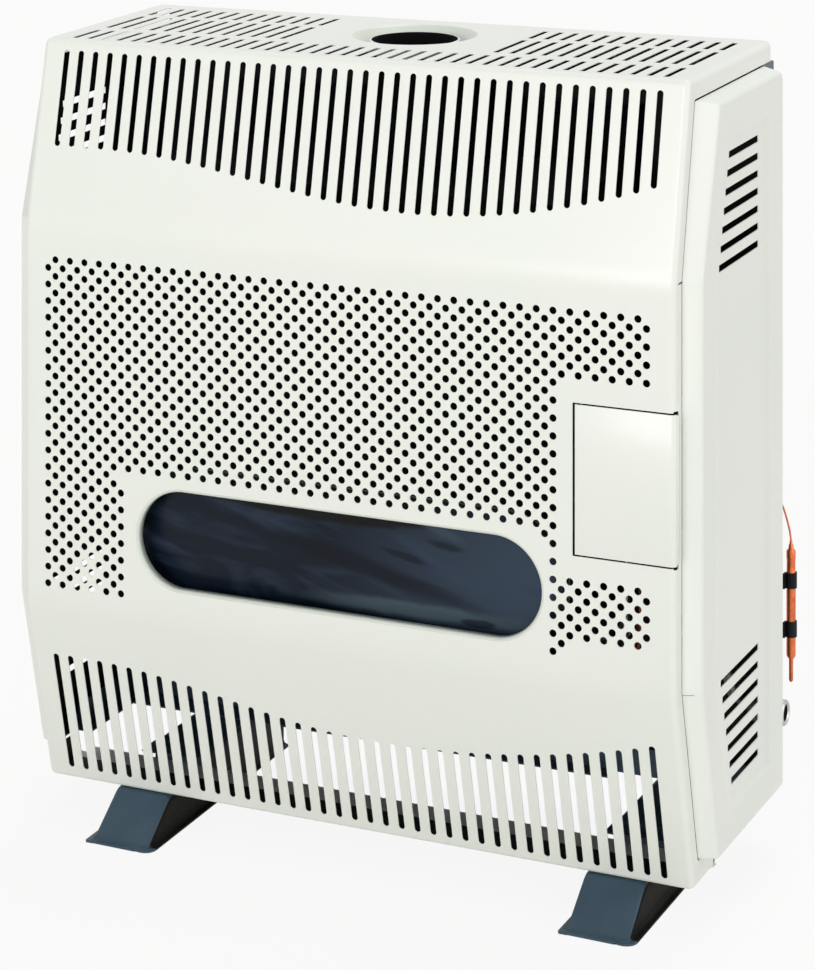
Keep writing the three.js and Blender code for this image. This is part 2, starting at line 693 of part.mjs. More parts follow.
// A sprung strap, screwed behind the rear frame, that holds the bulb between two arms.
function bulbClip(z) {
  const half = 7.4;
  const { x, y, radius } = bulb;
  const from = rearFrame.rear + gap;
  const ring = radius + gap;
  const screwX = casing.halfWidth - 10;
  const arc = (r, start, end, count) =>
    Array.from({ length: count + 1 }, (_, k) => {
      const a = ((start + ((end - start) * k) / count) * Math.PI) / 180;
      return [x + r * Math.cos(a), y + r * Math.sin(a)];
    });
  const wrap = prismZ([...arc(ring + 1, -150, 60, 8), ...arc(ring, 60, -150, 8)], z - half, z + half);
  const strap = box(screwX - 7, x - ring + 0.9, from, from + 1.2, z - half, z + half);
  const riser = box(x - ring - 0.8, x - ring + 0.9, from, y - 2.2, z - half, z + half);
  const screw = joined(
    rod(3.4, from + 1.1, from + 3.4, [screwX, 0, z], "y", 12),
    rod(1.7, rearFrame.rear - 6, from + 1.5, [screwX, 0, z], "y", 8),
  );
  return joined(strap, riser, wrap, screw);
}

// ---- Nodes ----

const group = new THREE.Group();

function add(name, shape, material) {
  const mesh = shape.getMesh();
  const geometry = new THREE.BufferGeometry();
  geometry.setAttribute("position", new THREE.BufferAttribute(mesh.vertProperties, 3));
  geometry.setIndex(new THREE.BufferAttribute(mesh.triVerts, 1));
  geometry.computeVertexNormals();
  const piece = new THREE.Mesh(geometry, material);
  piece.name = name;
  group.add(piece);
}

const m = materials;
add("front_cover", frontCover(), m.enamel);
add("side_panel_left", sidePanel(-1), m.sidePaint);
add("side_panel_right", sidePanel(1), m.sidePaint);
add("rear_frame", rearFrameShell(), m.slateEnamel);
add("base_frame", baseFrame(), m.blackPaint);
add("foot_left", pressedFoot(foot.lefts[0]), m.slateEnamel);
add("foot_right", pressedFoot(foot.lefts[1]), m.slateEnamel);

add("combustion_chamber", combustionChamber(), m.blackPaint);
add("glass_gasket", windowPiece(flame.gasket), m.fibre);
add("window_glass", windowPiece(flame.glass), m.glass);
add("window_frame", windowPiece(flame.ring), m.blackPaint);
add("draught_diverter", draughtDiverter(), m.steel);
add("flue_spigot", flueSpigot(), m.aluminium);
add("heat_shield", heatShield(), m.steel);
add("chamber_bracket_left", chamberBracket(chamber.left - gap - bracket.sheet), m.blackPaint);
add("chamber_bracket_right", chamberBracket(chamber.right + gap), m.blackPaint);

add("burner_tube", burnerTube(), m.steel);
add("burner_tray", burnerTray(), m.blackPaint);
add("gas_injector", gasInjector(), m.brass);
add("injector_bracket", injectorBracket(), m.steel);
add("pilot_bracket", pilotBracket(), m.steel);
add("pilot_burner", pilotBurner(), m.brass);
add("thermocouple", thermocouple(), m.copper);
add("spark_electrode", sparkElectrode(), m.ceramic);

add("control_bracket", controlBracket(), m.blackPaint);
add("gas_valve", gasValve(), m.aluminium);
add("valve_plunger", rod(2.6, 63, 80, [knob.x, 0, knob.z], "y", 12), m.brass);
add("knob_stem", rod(knob.stem, knob.front + 10, 62.7, [knob.x, 0, knob.z], "y", 12), m.brass);
add("thermostat_knob", thermostatKnob(), m.blackPlastic);
add("piezo_igniter", piezoIgniter(), m.blackPlastic);
add("igniter_button", igniterButton(), m.redPlastic);

add("control_door", controlDoor(), m.enamel);
add("door_pin_upper", hingePin(door.top - 8, door.top + 9), m.steel);
add("door_pin_lower", hingePin(door.bottom - 9, door.bottom + 8), m.steel);
add("door_magnet", doorMagnet(), m.blackPlastic);

add("gas_inlet_socket", inletSocket(), m.aluminium);
add("thermostat_bulb", thermostatBulb(), m.copper);
add("bulb_clip_upper", bulbClip(bulb.clips[0]), m.blackPlastic);
add("bulb_clip_lower", bulbClip(bulb.clips[1]), m.blackPlastic);

// Pipes and leads, each with the points it runs through.
const inletZ = knob.z + 8;
const inletPath = [
  [inlet.start - gap, inlet.y, inlet.z],
  [300, inlet.y, inlet.z],
  [300, 232, inlet.z + 50],
  [300, 232, inletZ],
  [knob.x, 200, inletZ],
  [knob.x, valve.rear + 13.8 + gap, inletZ],
];
add("gas_inlet_pipe", pipe(inletPath, inlet.pipe, 24, 6), m.steel);

const outletX = knob.x + valve.outletX;
const feedPath = [
  [injectorX + 18 + gap, burner.y, burner.z],
  [outletX, burner.y, burner.z],
  [outletX, valve.outletY, 290],
  [outletX, valve.outletY, knob.z - valve.outlet - gap],
];
add("burner_feed_pipe", pipe(feedPath, 4, 16, 5), m.aluminium);

const underShelf = pilot.shelf - gap;
const underValve = knob.z - valve.under - gap;
const pilotPath = [
  [pilot.burnerX, pilot.y, underShelf],
  [pilot.burnerX, pilot.y, 186],
  [150, 66, 186],
  [246, 60, 186],
  [262, 66, 250],
  [262, 66, underValve],
];
add("pilot_tube", pipe(pilotPath, 2, 8, 4), m.aluminium);

const couplePath = [
  [pilot.coupleX, pilot.y, underShelf],
  [pilot.coupleX, pilot.y, 176],
  [160, 106, 176],
  [254, 106, 176],
  [262, 100, 250],
  [262, 100, underValve],
];
add("thermocouple_lead", pipe(couplePath, 1.5, 8, 4), m.copper);

const sparkPath = [
  [pilot.sparkX, pilot.y, underShelf],
  [pilot.sparkX, pilot.y, 168],
  [280, 60, 168],
  [282, 104, 320],
  [igniter.x, 104, igniter.z],
  [igniter.x, igniter.rear + gap, igniter.z],
];
add("ignition_lead", pipe(sparkPath, 1.5, 8, 4), m.blackPlastic);

const capillaryPath = [
  [bulb.x, bulb.y, bulb.top + 10.3],
  [bulb.x - 1.1, bulb.y - 0.2, 290],
  [341, 292, 299.5],
  [337, 291.5, 313],
  [330, 291, 325],
  [322, 291, capillary.holeZ],
  [capillary.holeX, 291, capillary.holeZ],
  [capillary.holeX, 270, capillary.holeZ],
  [capillary.holeX, 150, 400],
  [knob.x + 20, 124, knob.z - 20],
  [knob.x + 20, valve.rear + gap, knob.z - 20],
];
add("capillary_tube", pipe(capillaryPath, capillary.radius, 8, 3), m.copper);

// The origin goes to the middle of the footprint, on the floor.
const bounds = new THREE.Box3().setFromObject(group, true);
group.position.set(-(bounds.min.x + bounds.max.x) / 2, -(bounds.min.y + bounds.max.y) / 2, -bounds.min.z);

export default group;
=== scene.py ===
import bpy
import numpy as np
from mathutils import Matrix, Vector


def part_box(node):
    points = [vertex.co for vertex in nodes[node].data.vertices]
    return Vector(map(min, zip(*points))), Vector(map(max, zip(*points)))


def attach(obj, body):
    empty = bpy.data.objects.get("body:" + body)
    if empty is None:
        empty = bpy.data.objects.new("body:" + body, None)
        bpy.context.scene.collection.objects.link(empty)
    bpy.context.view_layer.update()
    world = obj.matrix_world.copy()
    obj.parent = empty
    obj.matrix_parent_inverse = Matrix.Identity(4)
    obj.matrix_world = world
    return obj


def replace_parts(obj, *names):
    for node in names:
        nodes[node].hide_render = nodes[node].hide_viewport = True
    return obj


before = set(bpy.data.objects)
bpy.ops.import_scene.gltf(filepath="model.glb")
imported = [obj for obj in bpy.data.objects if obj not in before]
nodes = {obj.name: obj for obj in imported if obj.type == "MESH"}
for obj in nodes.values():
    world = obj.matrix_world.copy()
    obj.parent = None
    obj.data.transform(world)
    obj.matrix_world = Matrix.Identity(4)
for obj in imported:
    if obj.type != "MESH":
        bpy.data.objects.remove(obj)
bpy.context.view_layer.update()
print("heater: frame loaded with", len(nodes), "parts")

# Shapes are worked out in millimetres from the middle of the front, on the floor, with y running back.
coverLow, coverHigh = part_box("front_cover")
origin = np.array([(coverLow.x + coverHigh.x) / 2, coverLow.y, 0.0])


def place(points):  # millimetres on the heater -> metres in the frame
    return np.asarray(points, float) / 1000 + origin


def millimetres(node):  # lowest and highest corner of a part, on the heater
    low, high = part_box(node)
    return (np.array(low) - origin) * 1000, (np.array(high) - origin) * 1000


# The photograph was straightened to keep uprights upright: its view has a shear that no turned camera has.
photo = {
    "size": (815, 970),
    "turn": 24.026,  # degrees round the heater, from straight in front
    "focal": 2947.35,  # pixels
    "centre": (407.5, -379.17),  # where the level line of sight meets the picture
    "eye": (1167.1, -2451.3, 1168.3),
    "depthPoint": (1890.0, -515.0),  # where lines that run back from the front meet
    "depthScale": 0.805,
}


def addObject(name, data):
    item = bpy.data.objects.new(name, data)
    bpy.context.collection.objects.link(item)
    return item


def makeCamera(photo):
    # image point = picture @ (place, 1): a matrix with columns for width, depth, height and the origin
    turn = np.radians(photo["turn"])
    lens = np.diag([photo["focal"], photo["focal"], 1.0])
    lens[:2, 2] = photo["centre"]
    turned = np.array([[np.cos(turn), np.sin(turn), 0], [0, 0, -1], [-np.sin(turn), np.cos(turn), 0]])
    picture = lens @ np.column_stack([turned, -turned @ np.array(photo["eye"])])
    picture[:, 1] = photo["depthScale"] * np.array([*photo["depthPoint"], 1.0])
    eye = -np.linalg.solve(picture[:, :3], picture[:, 3])
    # the camera's three axes are the columns of the inverse of the picture seen from its middle
    middle = np.array(photo["size"]) / 2
    across, down, away = picture[:, :3]
    seen = [(across - middle[0] * away) / photo["focal"], -(down - middle[1] * away) / photo["focal"], -away]
    axes = np.linalg.inv(seen)
    lengths = np.linalg.norm(axes, axis=0)
    focal = photo["focal"] * lengths[2] / lengths[:2].mean()
    pose = np.eye(4)
    pose[:3, :3] = axes / lengths
    pose[:3, 3] = place(eye)
    camera = addObject("camera", bpy.data.cameras.new("camera"))
    camera.data.lens = focal * camera.data.sensor_width / max(photo["size"])
    camera.data.clip_end = 60  # metres
    camera.parent = addObject("cameraStand", None)
    camera.matrix_parent_inverse = Matrix(pose.tolist())
    bpy.context.scene.camera = camera
    return camera


camera = makeCamera(photo)
print("heater: camera placed, lens", round(camera.data.lens, 1))


def addNode(tree, kind, inputs=None, **settings):
    node = tree.nodes.new(kind)
    for name, value in settings.items():
        setattr(node, name, value)
    for name, value in (inputs or {}).items():
        if isinstance(value, bpy.types.NodeSocket):
            tree.links.new(value, node.inputs[name])
        else:
            node.inputs[name].default_value = value
    return node


def calculate(tree, operation, *values):
    return addNode(tree, "ShaderNodeMath", dict(enumerate(values)), operation=operation).outputs[0]


def vectorMath(tree, operation, *values):
    return addNode(tree, "ShaderNodeVectorMath", dict(enumerate(values)), operation=operation).outputs


def mixColours(tree, share, first, second):  # the first colour, with that share of the second
    mix = addNode(tree, "ShaderNodeMix", {"Factor": share, "A": first, "B": second}, data_type="RGBA")
    return mix.outputs["Result"]


def makeNoise(tree, position, scale, detail, distortion=0):
    inputs = {"Vector": position, "Scale": scale, "Detail": detail, "Distortion": distortion}
    return addNode(tree, "ShaderNodeTexNoise", inputs).outputs


def stretch(tree, value, low, high, to=1, **settings):  # low becomes 0 and high becomes to, held beyond both
    inputs = {"Value": value, "From Min": low, "From Max": high, "To Max": to}
    return addNode(tree, "ShaderNodeMapRange", inputs, **settings).outputs["Result"]


def newMaterial(name):
    material = bpy.data.materials.new(name)
    material.use_nodes = True
    return material, material.node_tree, material.node_tree.nodes["Principled BSDF"]


def startGroup(name, inputs, outputs):
    group = bpy.data.node_groups.new(name, "ShaderNodeTree")
    for label, kind, value in inputs:
        socket = group.interface.new_socket(name=label, in_out="INPUT", socket_type=kind)
        if value is not None:
            socket.default_value = value
    for label, kind in outputs:
        group.interface.new_socket(name=label, in_out="OUTPUT", socket_type=kind)
    return group, group.nodes.new("NodeGroupInput").outputs, group.nodes.new("NodeGroupOutput").inputs


number, colour, vector = "NodeSocketFloat", "NodeSocketColor", "NodeSocketVector"
skinOutputs = [("Colour", colour), ("Roughness", number), ("Height", number)]


def closeSkin(group, given, wanted, shade, height):
    # roughness + spread * height: the grain that makes the bump also makes the gloss uneven
    rough = calculate(group, "MULTIPLY_ADD", height, given["Roughness Spread"], given["Roughness"])
    for label, value in (("Colour", shade), ("Roughness", rough), ("Height", height)):
        group.links.new(value, wanted[label])
    return group


def makePaintSkin():
    # stoved paint: two close shades drift into each other, over the fine ripple of a sprayed coat
    group, given, wanted = startGroup(
        "paintSkin",
        [
            ("Place", vector, None),
            ("Colour", colour, (0.8, 0.8, 0.8, 1)), ("Other Colour", colour, (0.7, 0.7, 0.7, 1)),
            ("Drift Scale", number, 5), ("Ripple Scale", number, 420),
            ("Roughness", number, 0.4), ("Roughness Spread", number, 0.08),
        ],
        skinOutputs,
    )
    drift = makeNoise(group, given["Place"], given["Drift Scale"], detail=3)["Fac"]
    ripple = makeNoise(group, given["Place"], given["Ripple Scale"], detail=2)["Fac"]
    share = stretch(group, drift, low=0.3, high=0.7)
    shade = mixColours(group, share, given["Colour"], given["Other Colour"])
    return closeSkin(group, given, wanted, shade, ripple)


def makeBrushedSkin():
    # drawn or brushed metal: long thin streaks along one way, with a slow tarnish between two shades
    group, given, wanted = startGroup(
        "brushedSkin",
        [
            ("Place", vector, None),
            ("Colour", colour, (0.8, 0.8, 0.8, 1)), ("Tarnish", colour, (0.5, 0.5, 0.5, 1)),
            ("Tarnish Scale", number, 30), ("Streak Scale", vector, (900, 900, 40)),
            ("Roughness", number, 0.3), ("Roughness Spread", number, 0.15),
        ],
        skinOutputs,
    )
    slow = makeNoise(group, given["Place"], given["Tarnish Scale"], detail=4)["Fac"]
    drawn = vectorMath(group, "MULTIPLY", given["Place"], given["Streak Scale"])["Vector"]
    streak = makeNoise(group, drawn, scale=1, detail=3)["Fac"]
    shade = mixColours(group, stretch(group, slow, low=0.42, high=0.66), given["Colour"], given["Tarnish"])
    return closeSkin(group, given, wanted, shade, streak)


skins = {"paint": makePaintSkin(), "brushed": makeBrushedSkin()}


def fromScreen(red, green, blue):  # a colour as the screen shows it, 0 to 255 -> the value a node wants
    shown = np.array([red, green, blue]) / 255
    linear = np.where(shown <= 0.04045, shown / 12.92, ((shown + 0.055) / 1.055) ** 2.4)
    return (*linear.tolist(), 1.0)


# Each finish: its skin and the values that it takes, the height in metres and the strength of its bump, the
# shader's own values and, where a new piece wears it on its outside, the slot that the piece belongs to.
finishes = {
    "enamel": {
        "skin": "paint", "slot": "enamel", "bump": (0.00004, 0.5),
        "shader": {"Coat Weight": 0.25, "Coat Roughness": 0.12},
        "values": {
            "Colour": fromScreen(239, 241, 234), "Other Colour": fromScreen(236, 239, 231),
            "Roughness": 0.34,
        },
    },
    "hollowShadeEnamel": {  # painted shade: the flue's dish and the window's rim are made darker and greener than the enamel, for the shade in these hollows
        "skin": "paint", "slot": "enamel", "bump": (0.00004, 0.5),
        "shader": {"Coat Weight": 0.25, "Coat Roughness": 0.12},
        "values": {
            "Colour": fromScreen(226, 231, 221), "Other Colour": fromScreen(216, 222, 211),
            "Drift Scale": 14, "Roughness": 0.3,
        },
    },
    "sidePaint": {
        "skin": "paint", "slot": "side_paint", "bump": (0.00004, 0.5),
        "shader": {"Coat Weight": 0.2, "Coat Roughness": 0.15},
        "values": {
            "Colour": fromScreen(239, 241, 234), "Other Colour": fromScreen(235, 238, 232),
            "Roughness": 0.36,
        },
    },
    "slateEnamel": {
        "skin": "paint", "slot": "slate_enamel", "bump": (0.00006, 0.6),
        "shader": {"Specular IOR Level": 0.35},
        "values": {
            "Colour": fromScreen(61, 84, 100), "Other Colour": fromScreen(50, 73, 89),
            "Drift Scale": 22, "Roughness": 0.26, "Roughness Spread": 0.2,
        },
    },
    "shadedSlate": {  # painted shade on the feet: their side walls, insides and right rim made a dark brown slate
        "skin": "paint", "bump": (0.00006, 0.6), "shader": {"Specular IOR Level": 0.06},
        "values": {
            "Colour": fromScreen(32, 31, 28), "Other Colour": fromScreen(22, 22, 21),
            "Drift Scale": 30, "Roughness": 0.5, "Roughness Spread": 0.2,
        },
    },
    "insideShade": {  # painted shade: the insides of the sheets are made dark for the shade within the casing
        "skin": "paint", "bump": (0.00006, 0.5), "shader": {"Specular IOR Level": 0.2},
        "values": {
            "Colour": fromScreen(30, 31, 31), "Other Colour": fromScreen(20, 21, 22),
            "Drift Scale": 25, "Roughness": 0.6,
        },
    },
    "blackPaint": {
        "skin": "paint", "bump": (0.00008, 0.5), "shader": {"Specular IOR Level": 0.3},
        "values": {
            "Colour": fromScreen(30, 29, 28), "Other Colour": fromScreen(20, 20, 21),
            "Drift Scale": 30, "Roughness": 0.6, "Roughness Spread": 0.2,
        },
    },
    # black paint made darker still: painted shade deep inside the casing and down the flue's bore
    "shadedBlack": {
        "skin": "paint", "slot": "black_paint", "bump": (0.00015, 0.6),
        "shader": {"Specular IOR Level": 0.1},
        "values": {
            "Colour": fromScreen(14, 14, 15), "Other Colour": fromScreen(8, 8, 9),
            "Drift Scale": 40, "Roughness": 0.8,
        },
    },
    "steel": {
        "skin": "brushed", "slot": "steel", "bump": (0.00002, 0.4), "shader": {"Metallic": 1.0},
        "values": {"Colour": (0.50, 0.50, 0.49, 1), "Tarnish": (0.34, 0.34, 0.35, 1)},
    },
    "dullSteel": {
        "skin": "brushed", "bump": (0.00002, 0.4), "shader": {"Metallic": 1.0},
        "values": {"Colour": (0.15, 0.15, 0.16, 1), "Tarnish": (0.09, 0.09, 0.1, 1), "Roughness": 0.5},
    },
    "aluminium": {
        "skin": "brushed", "slot": "aluminium", "bump": (0.00002, 0.3), "shader": {"Metallic": 1.0},
        "values": {
            "Colour": (0.80, 0.80, 0.78, 1), "Tarnish": (0.62, 0.63, 0.63, 1),
            "Streak Scale": (80, 80, 1500), "Roughness": 0.22,
        },
    },
    "brass": {
        "skin": "brushed", "bump": (0.00002, 0.3), "shader": {"Metallic": 1.0},
        "values": {"Colour": (0.72, 0.50, 0.20, 1), "Tarnish": (0.42, 0.28, 0.11, 1), "Roughness": 0.25},
    },
    "copper": {
        "skin": "brushed", "slot": "copper", "bump": (0.00002, 0.4), "shader": {"Metallic": 1.0},
        "values": {
            "Colour": fromScreen(228, 122, 80), "Tarnish": fromScreen(188, 95, 58),
            "Tarnish Scale": 90, "Streak Scale": (700, 700, 30), "Roughness": 0.35,
        },
    },
    "fibre": {
        "skin": "paint", "bump": (0.0003, 0.8), "shader": {},
        "values": {
            "Colour": (0.55, 0.54, 0.50, 1), "Other Colour": (0.38, 0.37, 0.34, 1),
            "Drift Scale": 300, "Ripple Scale": 1800, "Roughness": 0.9,
        },
    },
    "blackPlastic": {
        "skin": "paint", "slot": "black_plastic", "bump": (0.00003, 0.6),
        "shader": {"Specular IOR Level": 0.15},
        "values": {
            "Colour": (0.011, 0.011, 0.013, 1), "Other Colour": (0.006, 0.006, 0.008, 1),
            "Drift Scale": 60, "Ripple Scale": 1500, "Roughness": 0.5,
        },
    },
    "redPlastic": {
        "skin": "paint", "bump": (0.00003, 0.5), "shader": {},
        "values": {
            "Colour": (0.55, 0.02, 0.015, 1), "Other Colour": (0.45, 0.015, 0.012, 1),
            "Drift Scale": 60, "Ripple Scale": 1500, "Roughness": 0.3,
        },
    },
}


def makeFinish(name, finish):
    material, tree, shader = newMaterial(name)
    spot = addNode(tree, "ShaderNodeTexCoord").outputs["Object"]
    skin = addNode(
        tree, "ShaderNodeGroup", {"Place": spot, **finish["values"]}, node_tree=skins[finish["skin"]]
    ).outputs
    distance, strength = finish["bump"]
    bump = addNode(
        tree, "ShaderNodeBump", {"Height": skin["Height"], "Distance": distance, "Strength": strength}
    )
    tree.links.new(skin["Colour"], shader.inputs["Base Color"])
    tree.links.new(skin["Roughness"], shader.inputs["Roughness"])
    tree.links.new(bump.outputs["Normal"], shader.inputs["Normal"])
    for label, value in finish["shader"].items():
        shader.inputs[label].default_value = value
    finish["material"] = material


for name, finish in finishes.items():
    makeFinish(name, finish)


def makeSoftSpot():
    # a tilted oval in the plane of the front: 1 inside, 0 outside, with a soft edge
    group, given, wanted = startGroup(
        "softSpot",
        [
            ("Place", vector, None), ("Middle", vector, (0, 0, 0)), ("Turn", vector, (0, 0, 0)),
            ("Half Size", vector, (1, 1, 1)), ("Softness", number, 0.4),
        ],
        [("Mask", number)],
    )
    oval = {"Location": given["Middle"], "Rotation": given["Turn"], "Scale": given["Half Size"]}
    local = addNode(group, "ShaderNodeMapping", {"Vector": given["Place"], **oval}, vector_type="TEXTURE")
    reach = vectorMath(group, "LENGTH", local.outputs["Vector"])["Value"]
    outer = calculate(group, "ADD", 1.0, given["Softness"])
    inner = calculate(group, "SUBTRACT", 1.0, given["Softness"])
    mask = stretch(group, reach, outer, inner, interpolation_type="SMOOTHSTEP")
    group.links.new(mask, wanted["Mask"])
    return group


# The dark pane with its painted reflections and painted shade, in millimetres across and up; a mark's turn
# falls to the right.
darkGlass = {
    "left": fromScreen(16, 25, 37),
    "right": fromScreen(56, 70, 88),
    "fade": (-20, 190),  # where the left tint ends and the right one begins
    # the colour of the painted reflection streaks
    "pale": fromScreen(50, 64, 84),
    "turn": 12.4,
    "reflectionScale": (6.0, 1.0, 26.0),
    "wander": (12, 0, 6),  # how far the marks' edges stray
    "roughness": 0.25,
    "shine": 0.15,
    "marks": [  # shade, middle, half size, turn, softness of the edge, share
        # paleBand and wedge are painted reflections, brown is painted shade along the pane's top, and dark
        # marks are painted dark reflections
        ("paleBand", (80, 259), (110, 7), 0, 0.5, 0.8),
        ("brown", (-30, 345), (128, 15), 1, 0.15, 0.95),
        ("wedge", (96, 336), (22, 5), 20, 0.6, 0.6),
        ("dark", (18, 293), (110, 8), 12.4, 0.6, 0.8),
        ("dark", (60, 308), (20, 3), 12.4, 0.5, 0.7),
        ("dark", (100, 322), (16, 4), 8, 0.5, 0.7),
        ("dark", (132, 255), (17, 4), 0, 0.3, 0.7),
    ],
    "paleBand": fromScreen(76, 92, 100),
    "brown": fromScreen(13, 11, 10),
    "wedge": fromScreen(64, 77, 92),
    "dark": fromScreen(10, 14, 24),
}


def makeDarkGlass(look):
    # a dark pane, paler to the right, with painted reflections: drifting pale streaks and the soft marks of a
    # room seen in it, and a band of painted shade along its top
    softSpot = makeSoftSpot()
    material, tree, shader = newMaterial("glass")
    where = addNode(tree, "ShaderNodeTexCoord").outputs["Object"]
    across = addNode(tree, "ShaderNodeSeparateXYZ", {"Vector": where}).outputs["X"]
    left, right = (end / 1000 for end in look["fade"])
    tint = mixColours(tree, stretch(tree, across, left, right), look["left"], look["right"])
    turn = (0, np.radians(-look["turn"]), 0)
    turned = addNode(tree, "ShaderNodeMapping", {"Vector": where, "Rotation": turn}).outputs["Vector"]
    drawn = vectorMath(tree, "MULTIPLY", turned, look["reflectionScale"])["Vector"]
    reflectionStreaks = makeNoise(tree, drawn, scale=1.5, detail=3, distortion=0.8)["Fac"]
    tint = mixColours(tree, stretch(tree, reflectionStreaks, low=0.5, high=0.7, to=0.6), tint, look["pale"])
    stray = np.array(look["wander"]) / 1000
    ripple = makeNoise(tree, drawn, scale=5, detail=2)["Color"]
    moved = vectorMath(tree, "MULTIPLY_ADD", ripple, stray.tolist(), where)["Vector"]
    for shade, (x, z), (wide, high), turn, soft, share in look["marks"]:
        spot = addNode(
            tree,
            "ShaderNodeGroup",
            {
                "Place": moved,
                "Middle": (np.array([x, 0, z]) / 1000 + stray / 2).tolist(),
                "Turn": (0, np.radians(turn), 0),
                "Half Size": (wide / 1000, 100, high / 1000),
                "Softness": soft,
            },
            node_tree=softSpot,
        )
        shown = calculate(tree, "MULTIPLY", spot.outputs["Mask"], share)
        tint = mixColours(tree, shown, tint, look[shade])
    tree.links.new(tint, shader.inputs["Base Color"])
    shader.inputs["Roughness"].default_value = look["roughness"]
    shader.inputs["Specular IOR Level"].default_value = look["shine"]
    return {"material": material}


finishes["glass"] = makeDarkGlass(darkGlass)
print("heater:", len(finishes), "finishes made")


def toward(points, other, reach):  # points moved that far towards other
    way = other - points
    return points + way * (reach / np.maximum(np.linalg.norm(way, axis=-1, keepdims=True), 1e-9))


def softPath(corners, cuts, steps=6, closed=False):
    # each corner c becomes the curve (1-t)^2 a + 2t(1-t) c + t^2 b; a and b lie a cut before and after it
    corners = np.asarray(corners, float)
    cuts = np.asarray(cuts, float)
    if not closed:
        cuts = np.concatenate([cuts[:1] * 0, cuts, cuts[:1] * 0])
    cuts = cuts.reshape(cuts.shape + (1,) * (corners.ndim - cuts.ndim))
    t = np.linspace(0, 1, steps).reshape((1, steps) + (1,) * (corners.ndim - 1))
    before = toward(corners, np.roll(corners, 1, axis=0), cuts)[:, None]
    after = toward(corners, np.roll(corners, -1, axis=0), cuts)[:, None]
    curve = (1 - t) ** 2 * before + 2 * t * (1 - t) * corners[:, None] + t**2 * after
    if closed:
        return curve.reshape((-1,) + curve.shape[2:])
    return np.concatenate([corners[:1], curve[1:-1].reshape((-1,) + curve.shape[2:]), corners[-1:]])


def mitre(corners):
    # how each corner moves when the whole line moves 1 mm to its left: (n1 + n2) / (1 + n1 . n2)
    way = np.diff(corners, axis=0)
    way /= np.linalg.norm(way, axis=1, keepdims=True)
    left = np.column_stack([-way[:, 1], way[:, 0]])
    first, second = np.vstack([left[:1], left]), np.vstack([left, left[-1:]])
    return (first + second) / (1 + (first * second).sum(axis=1, keepdims=True))


def gridFaces(rows, columns, closeRows=False, closeColumns=False):
    # the four-sided faces of a grid; they look along (way the rows run) x (way the columns run)
    row = np.arange(rows if closeRows else rows - 1)[:, None]
    column = np.arange(columns if closeColumns else columns - 1)[None, :]
    nextRow, nextColumn = (row + 1) % rows, (column + 1) % columns
    corners = [
        row * columns + column,
        nextRow * columns + column,
        nextRow * columns + nextColumn,
        row * columns + nextColumn,
    ]
    return np.stack(corners, axis=-1).reshape(-1, 4)


def gridShape(points, **closing):
    return points.reshape(-1, 3), gridFaces(*points.shape[:2], **closing).tolist()


def roundedOutlines(centres, halves, corner, grow, steps):
    # a rectangle's corner centres + (corner + grow) * (cos, sin) over each quarter turn, anticlockwise
    turn = ((np.arange(steps) + 0.5) / steps + np.arange(4)[:, None]).ravel() * np.pi / 2
    signs = np.repeat([[1, 1], [-1, 1], [-1, -1], [1, -1]], steps, axis=0)
    centres, halves = np.atleast_2d(centres), np.atleast_2d(halves)
    corners = (halves - corner)[:, None] * signs
    return centres[:, None] + corners + (corner + grow) * np.column_stack([np.cos(turn), np.sin(turn)])


casing = {
    "panelFace": 348.5,  # from the middle to the outside of a side panel
    "top": 760,
    "back": 284,
    "folds": (586, 224),  # the front stands upright between these heights
    "leans": (0.225, 0.264),  # how fast it falls back above and below them
}


def frontY(z):  # where the front of the cover stands at a height
    (upper, lower), (upperLean, lowerLean) = casing["folds"], casing["leans"]
    return np.maximum(0, z - upper) * upperLean + np.maximum(0, lower - z) * lowerLean


facings = {  # across, up and depth below the surface -> a place on the heater
    "front": lambda u, v, depth: np.stack(np.broadcast_arrays(u, frontY(v) + depth, v), axis=-1),
    "top": lambda u, v, depth: np.stack(np.broadcast_arrays(u, v, casing["top"] - depth), axis=-1),
    "side": lambda u, v, depth: np.stack(np.broadcast_arrays(casing["panelFace"] - depth, u, v), axis=-1),
    "back": lambda u, v, depth: np.stack(np.broadcast_arrays(-u, casing["back"] - depth, v), axis=-1),
}


def holes(centres, halves, corner, facing, levels, steps=4):
    # punches: each outline is repeated at every (depth, grow) level and closed at both ends
    outlines = np.stack([roundedOutlines(centres, halves, corner, grow, steps) for _, grow in levels], axis=1)
    depths = np.array([depth for depth, _ in levels], float)[None, :, None]
    points = facings[facing](outlines[..., 0], outlines[..., 1], depths)
    count, rows, around = points.shape[:3]
    start = np.arange(count)[:, None] * rows * around
    sides = (gridFaces(rows, around, closeColumns=True)[None] + start[:, None]).reshape(-1, 4)
    near = start + np.arange(around)
    far = start + (rows - 1) * around + np.arange(around)[::-1]
    return points.reshape(-1, 3), sides.tolist() + near.tolist() + far.tolist()


def drill(centres, radius, facing, depths, steps):  # round punches from one depth to another
    return holes(centres, (radius, radius), radius, facing, [(depth, 0) for depth in depths], steps)


def box(low, high):  # eight corners and six outward faces
    low, high = np.array(low, float), np.array(high, float)
    steps = np.array([[0, 0, 0], [1, 0, 0], [1, 1, 0], [0, 1, 0], [0, 0, 1], [1, 0, 1], [1, 1, 1], [0, 1, 1]])
    faces = [[3, 2, 1, 0], [4, 5, 6, 7], [0, 1, 5, 4], [1, 2, 6, 5], [2, 3, 7, 6], [3, 0, 4, 7]]
    return low + steps * (high - low), faces


def together(*shapes):  # several (points, faces) as one
    points, faces, count = [], [], 0
    for shapePoints, shapeFaces in shapes:
        points.append(shapePoints)
        faces += [[corner + count for corner in face] for face in shapeFaces]
        count += len(shapePoints)
    return np.vstack(points), faces


axes = {  # outward radius turned round an axis: (r cos, r sin, along) -> a place relative to the axis's foot
    "up": lambda a, b, h: np.stack([a, b, h], axis=-1),
    "right": lambda a, b, h: np.stack([h, a, b], axis=-1),
    "front": lambda a, b, h: np.stack([a, -h, b], axis=-1),
}


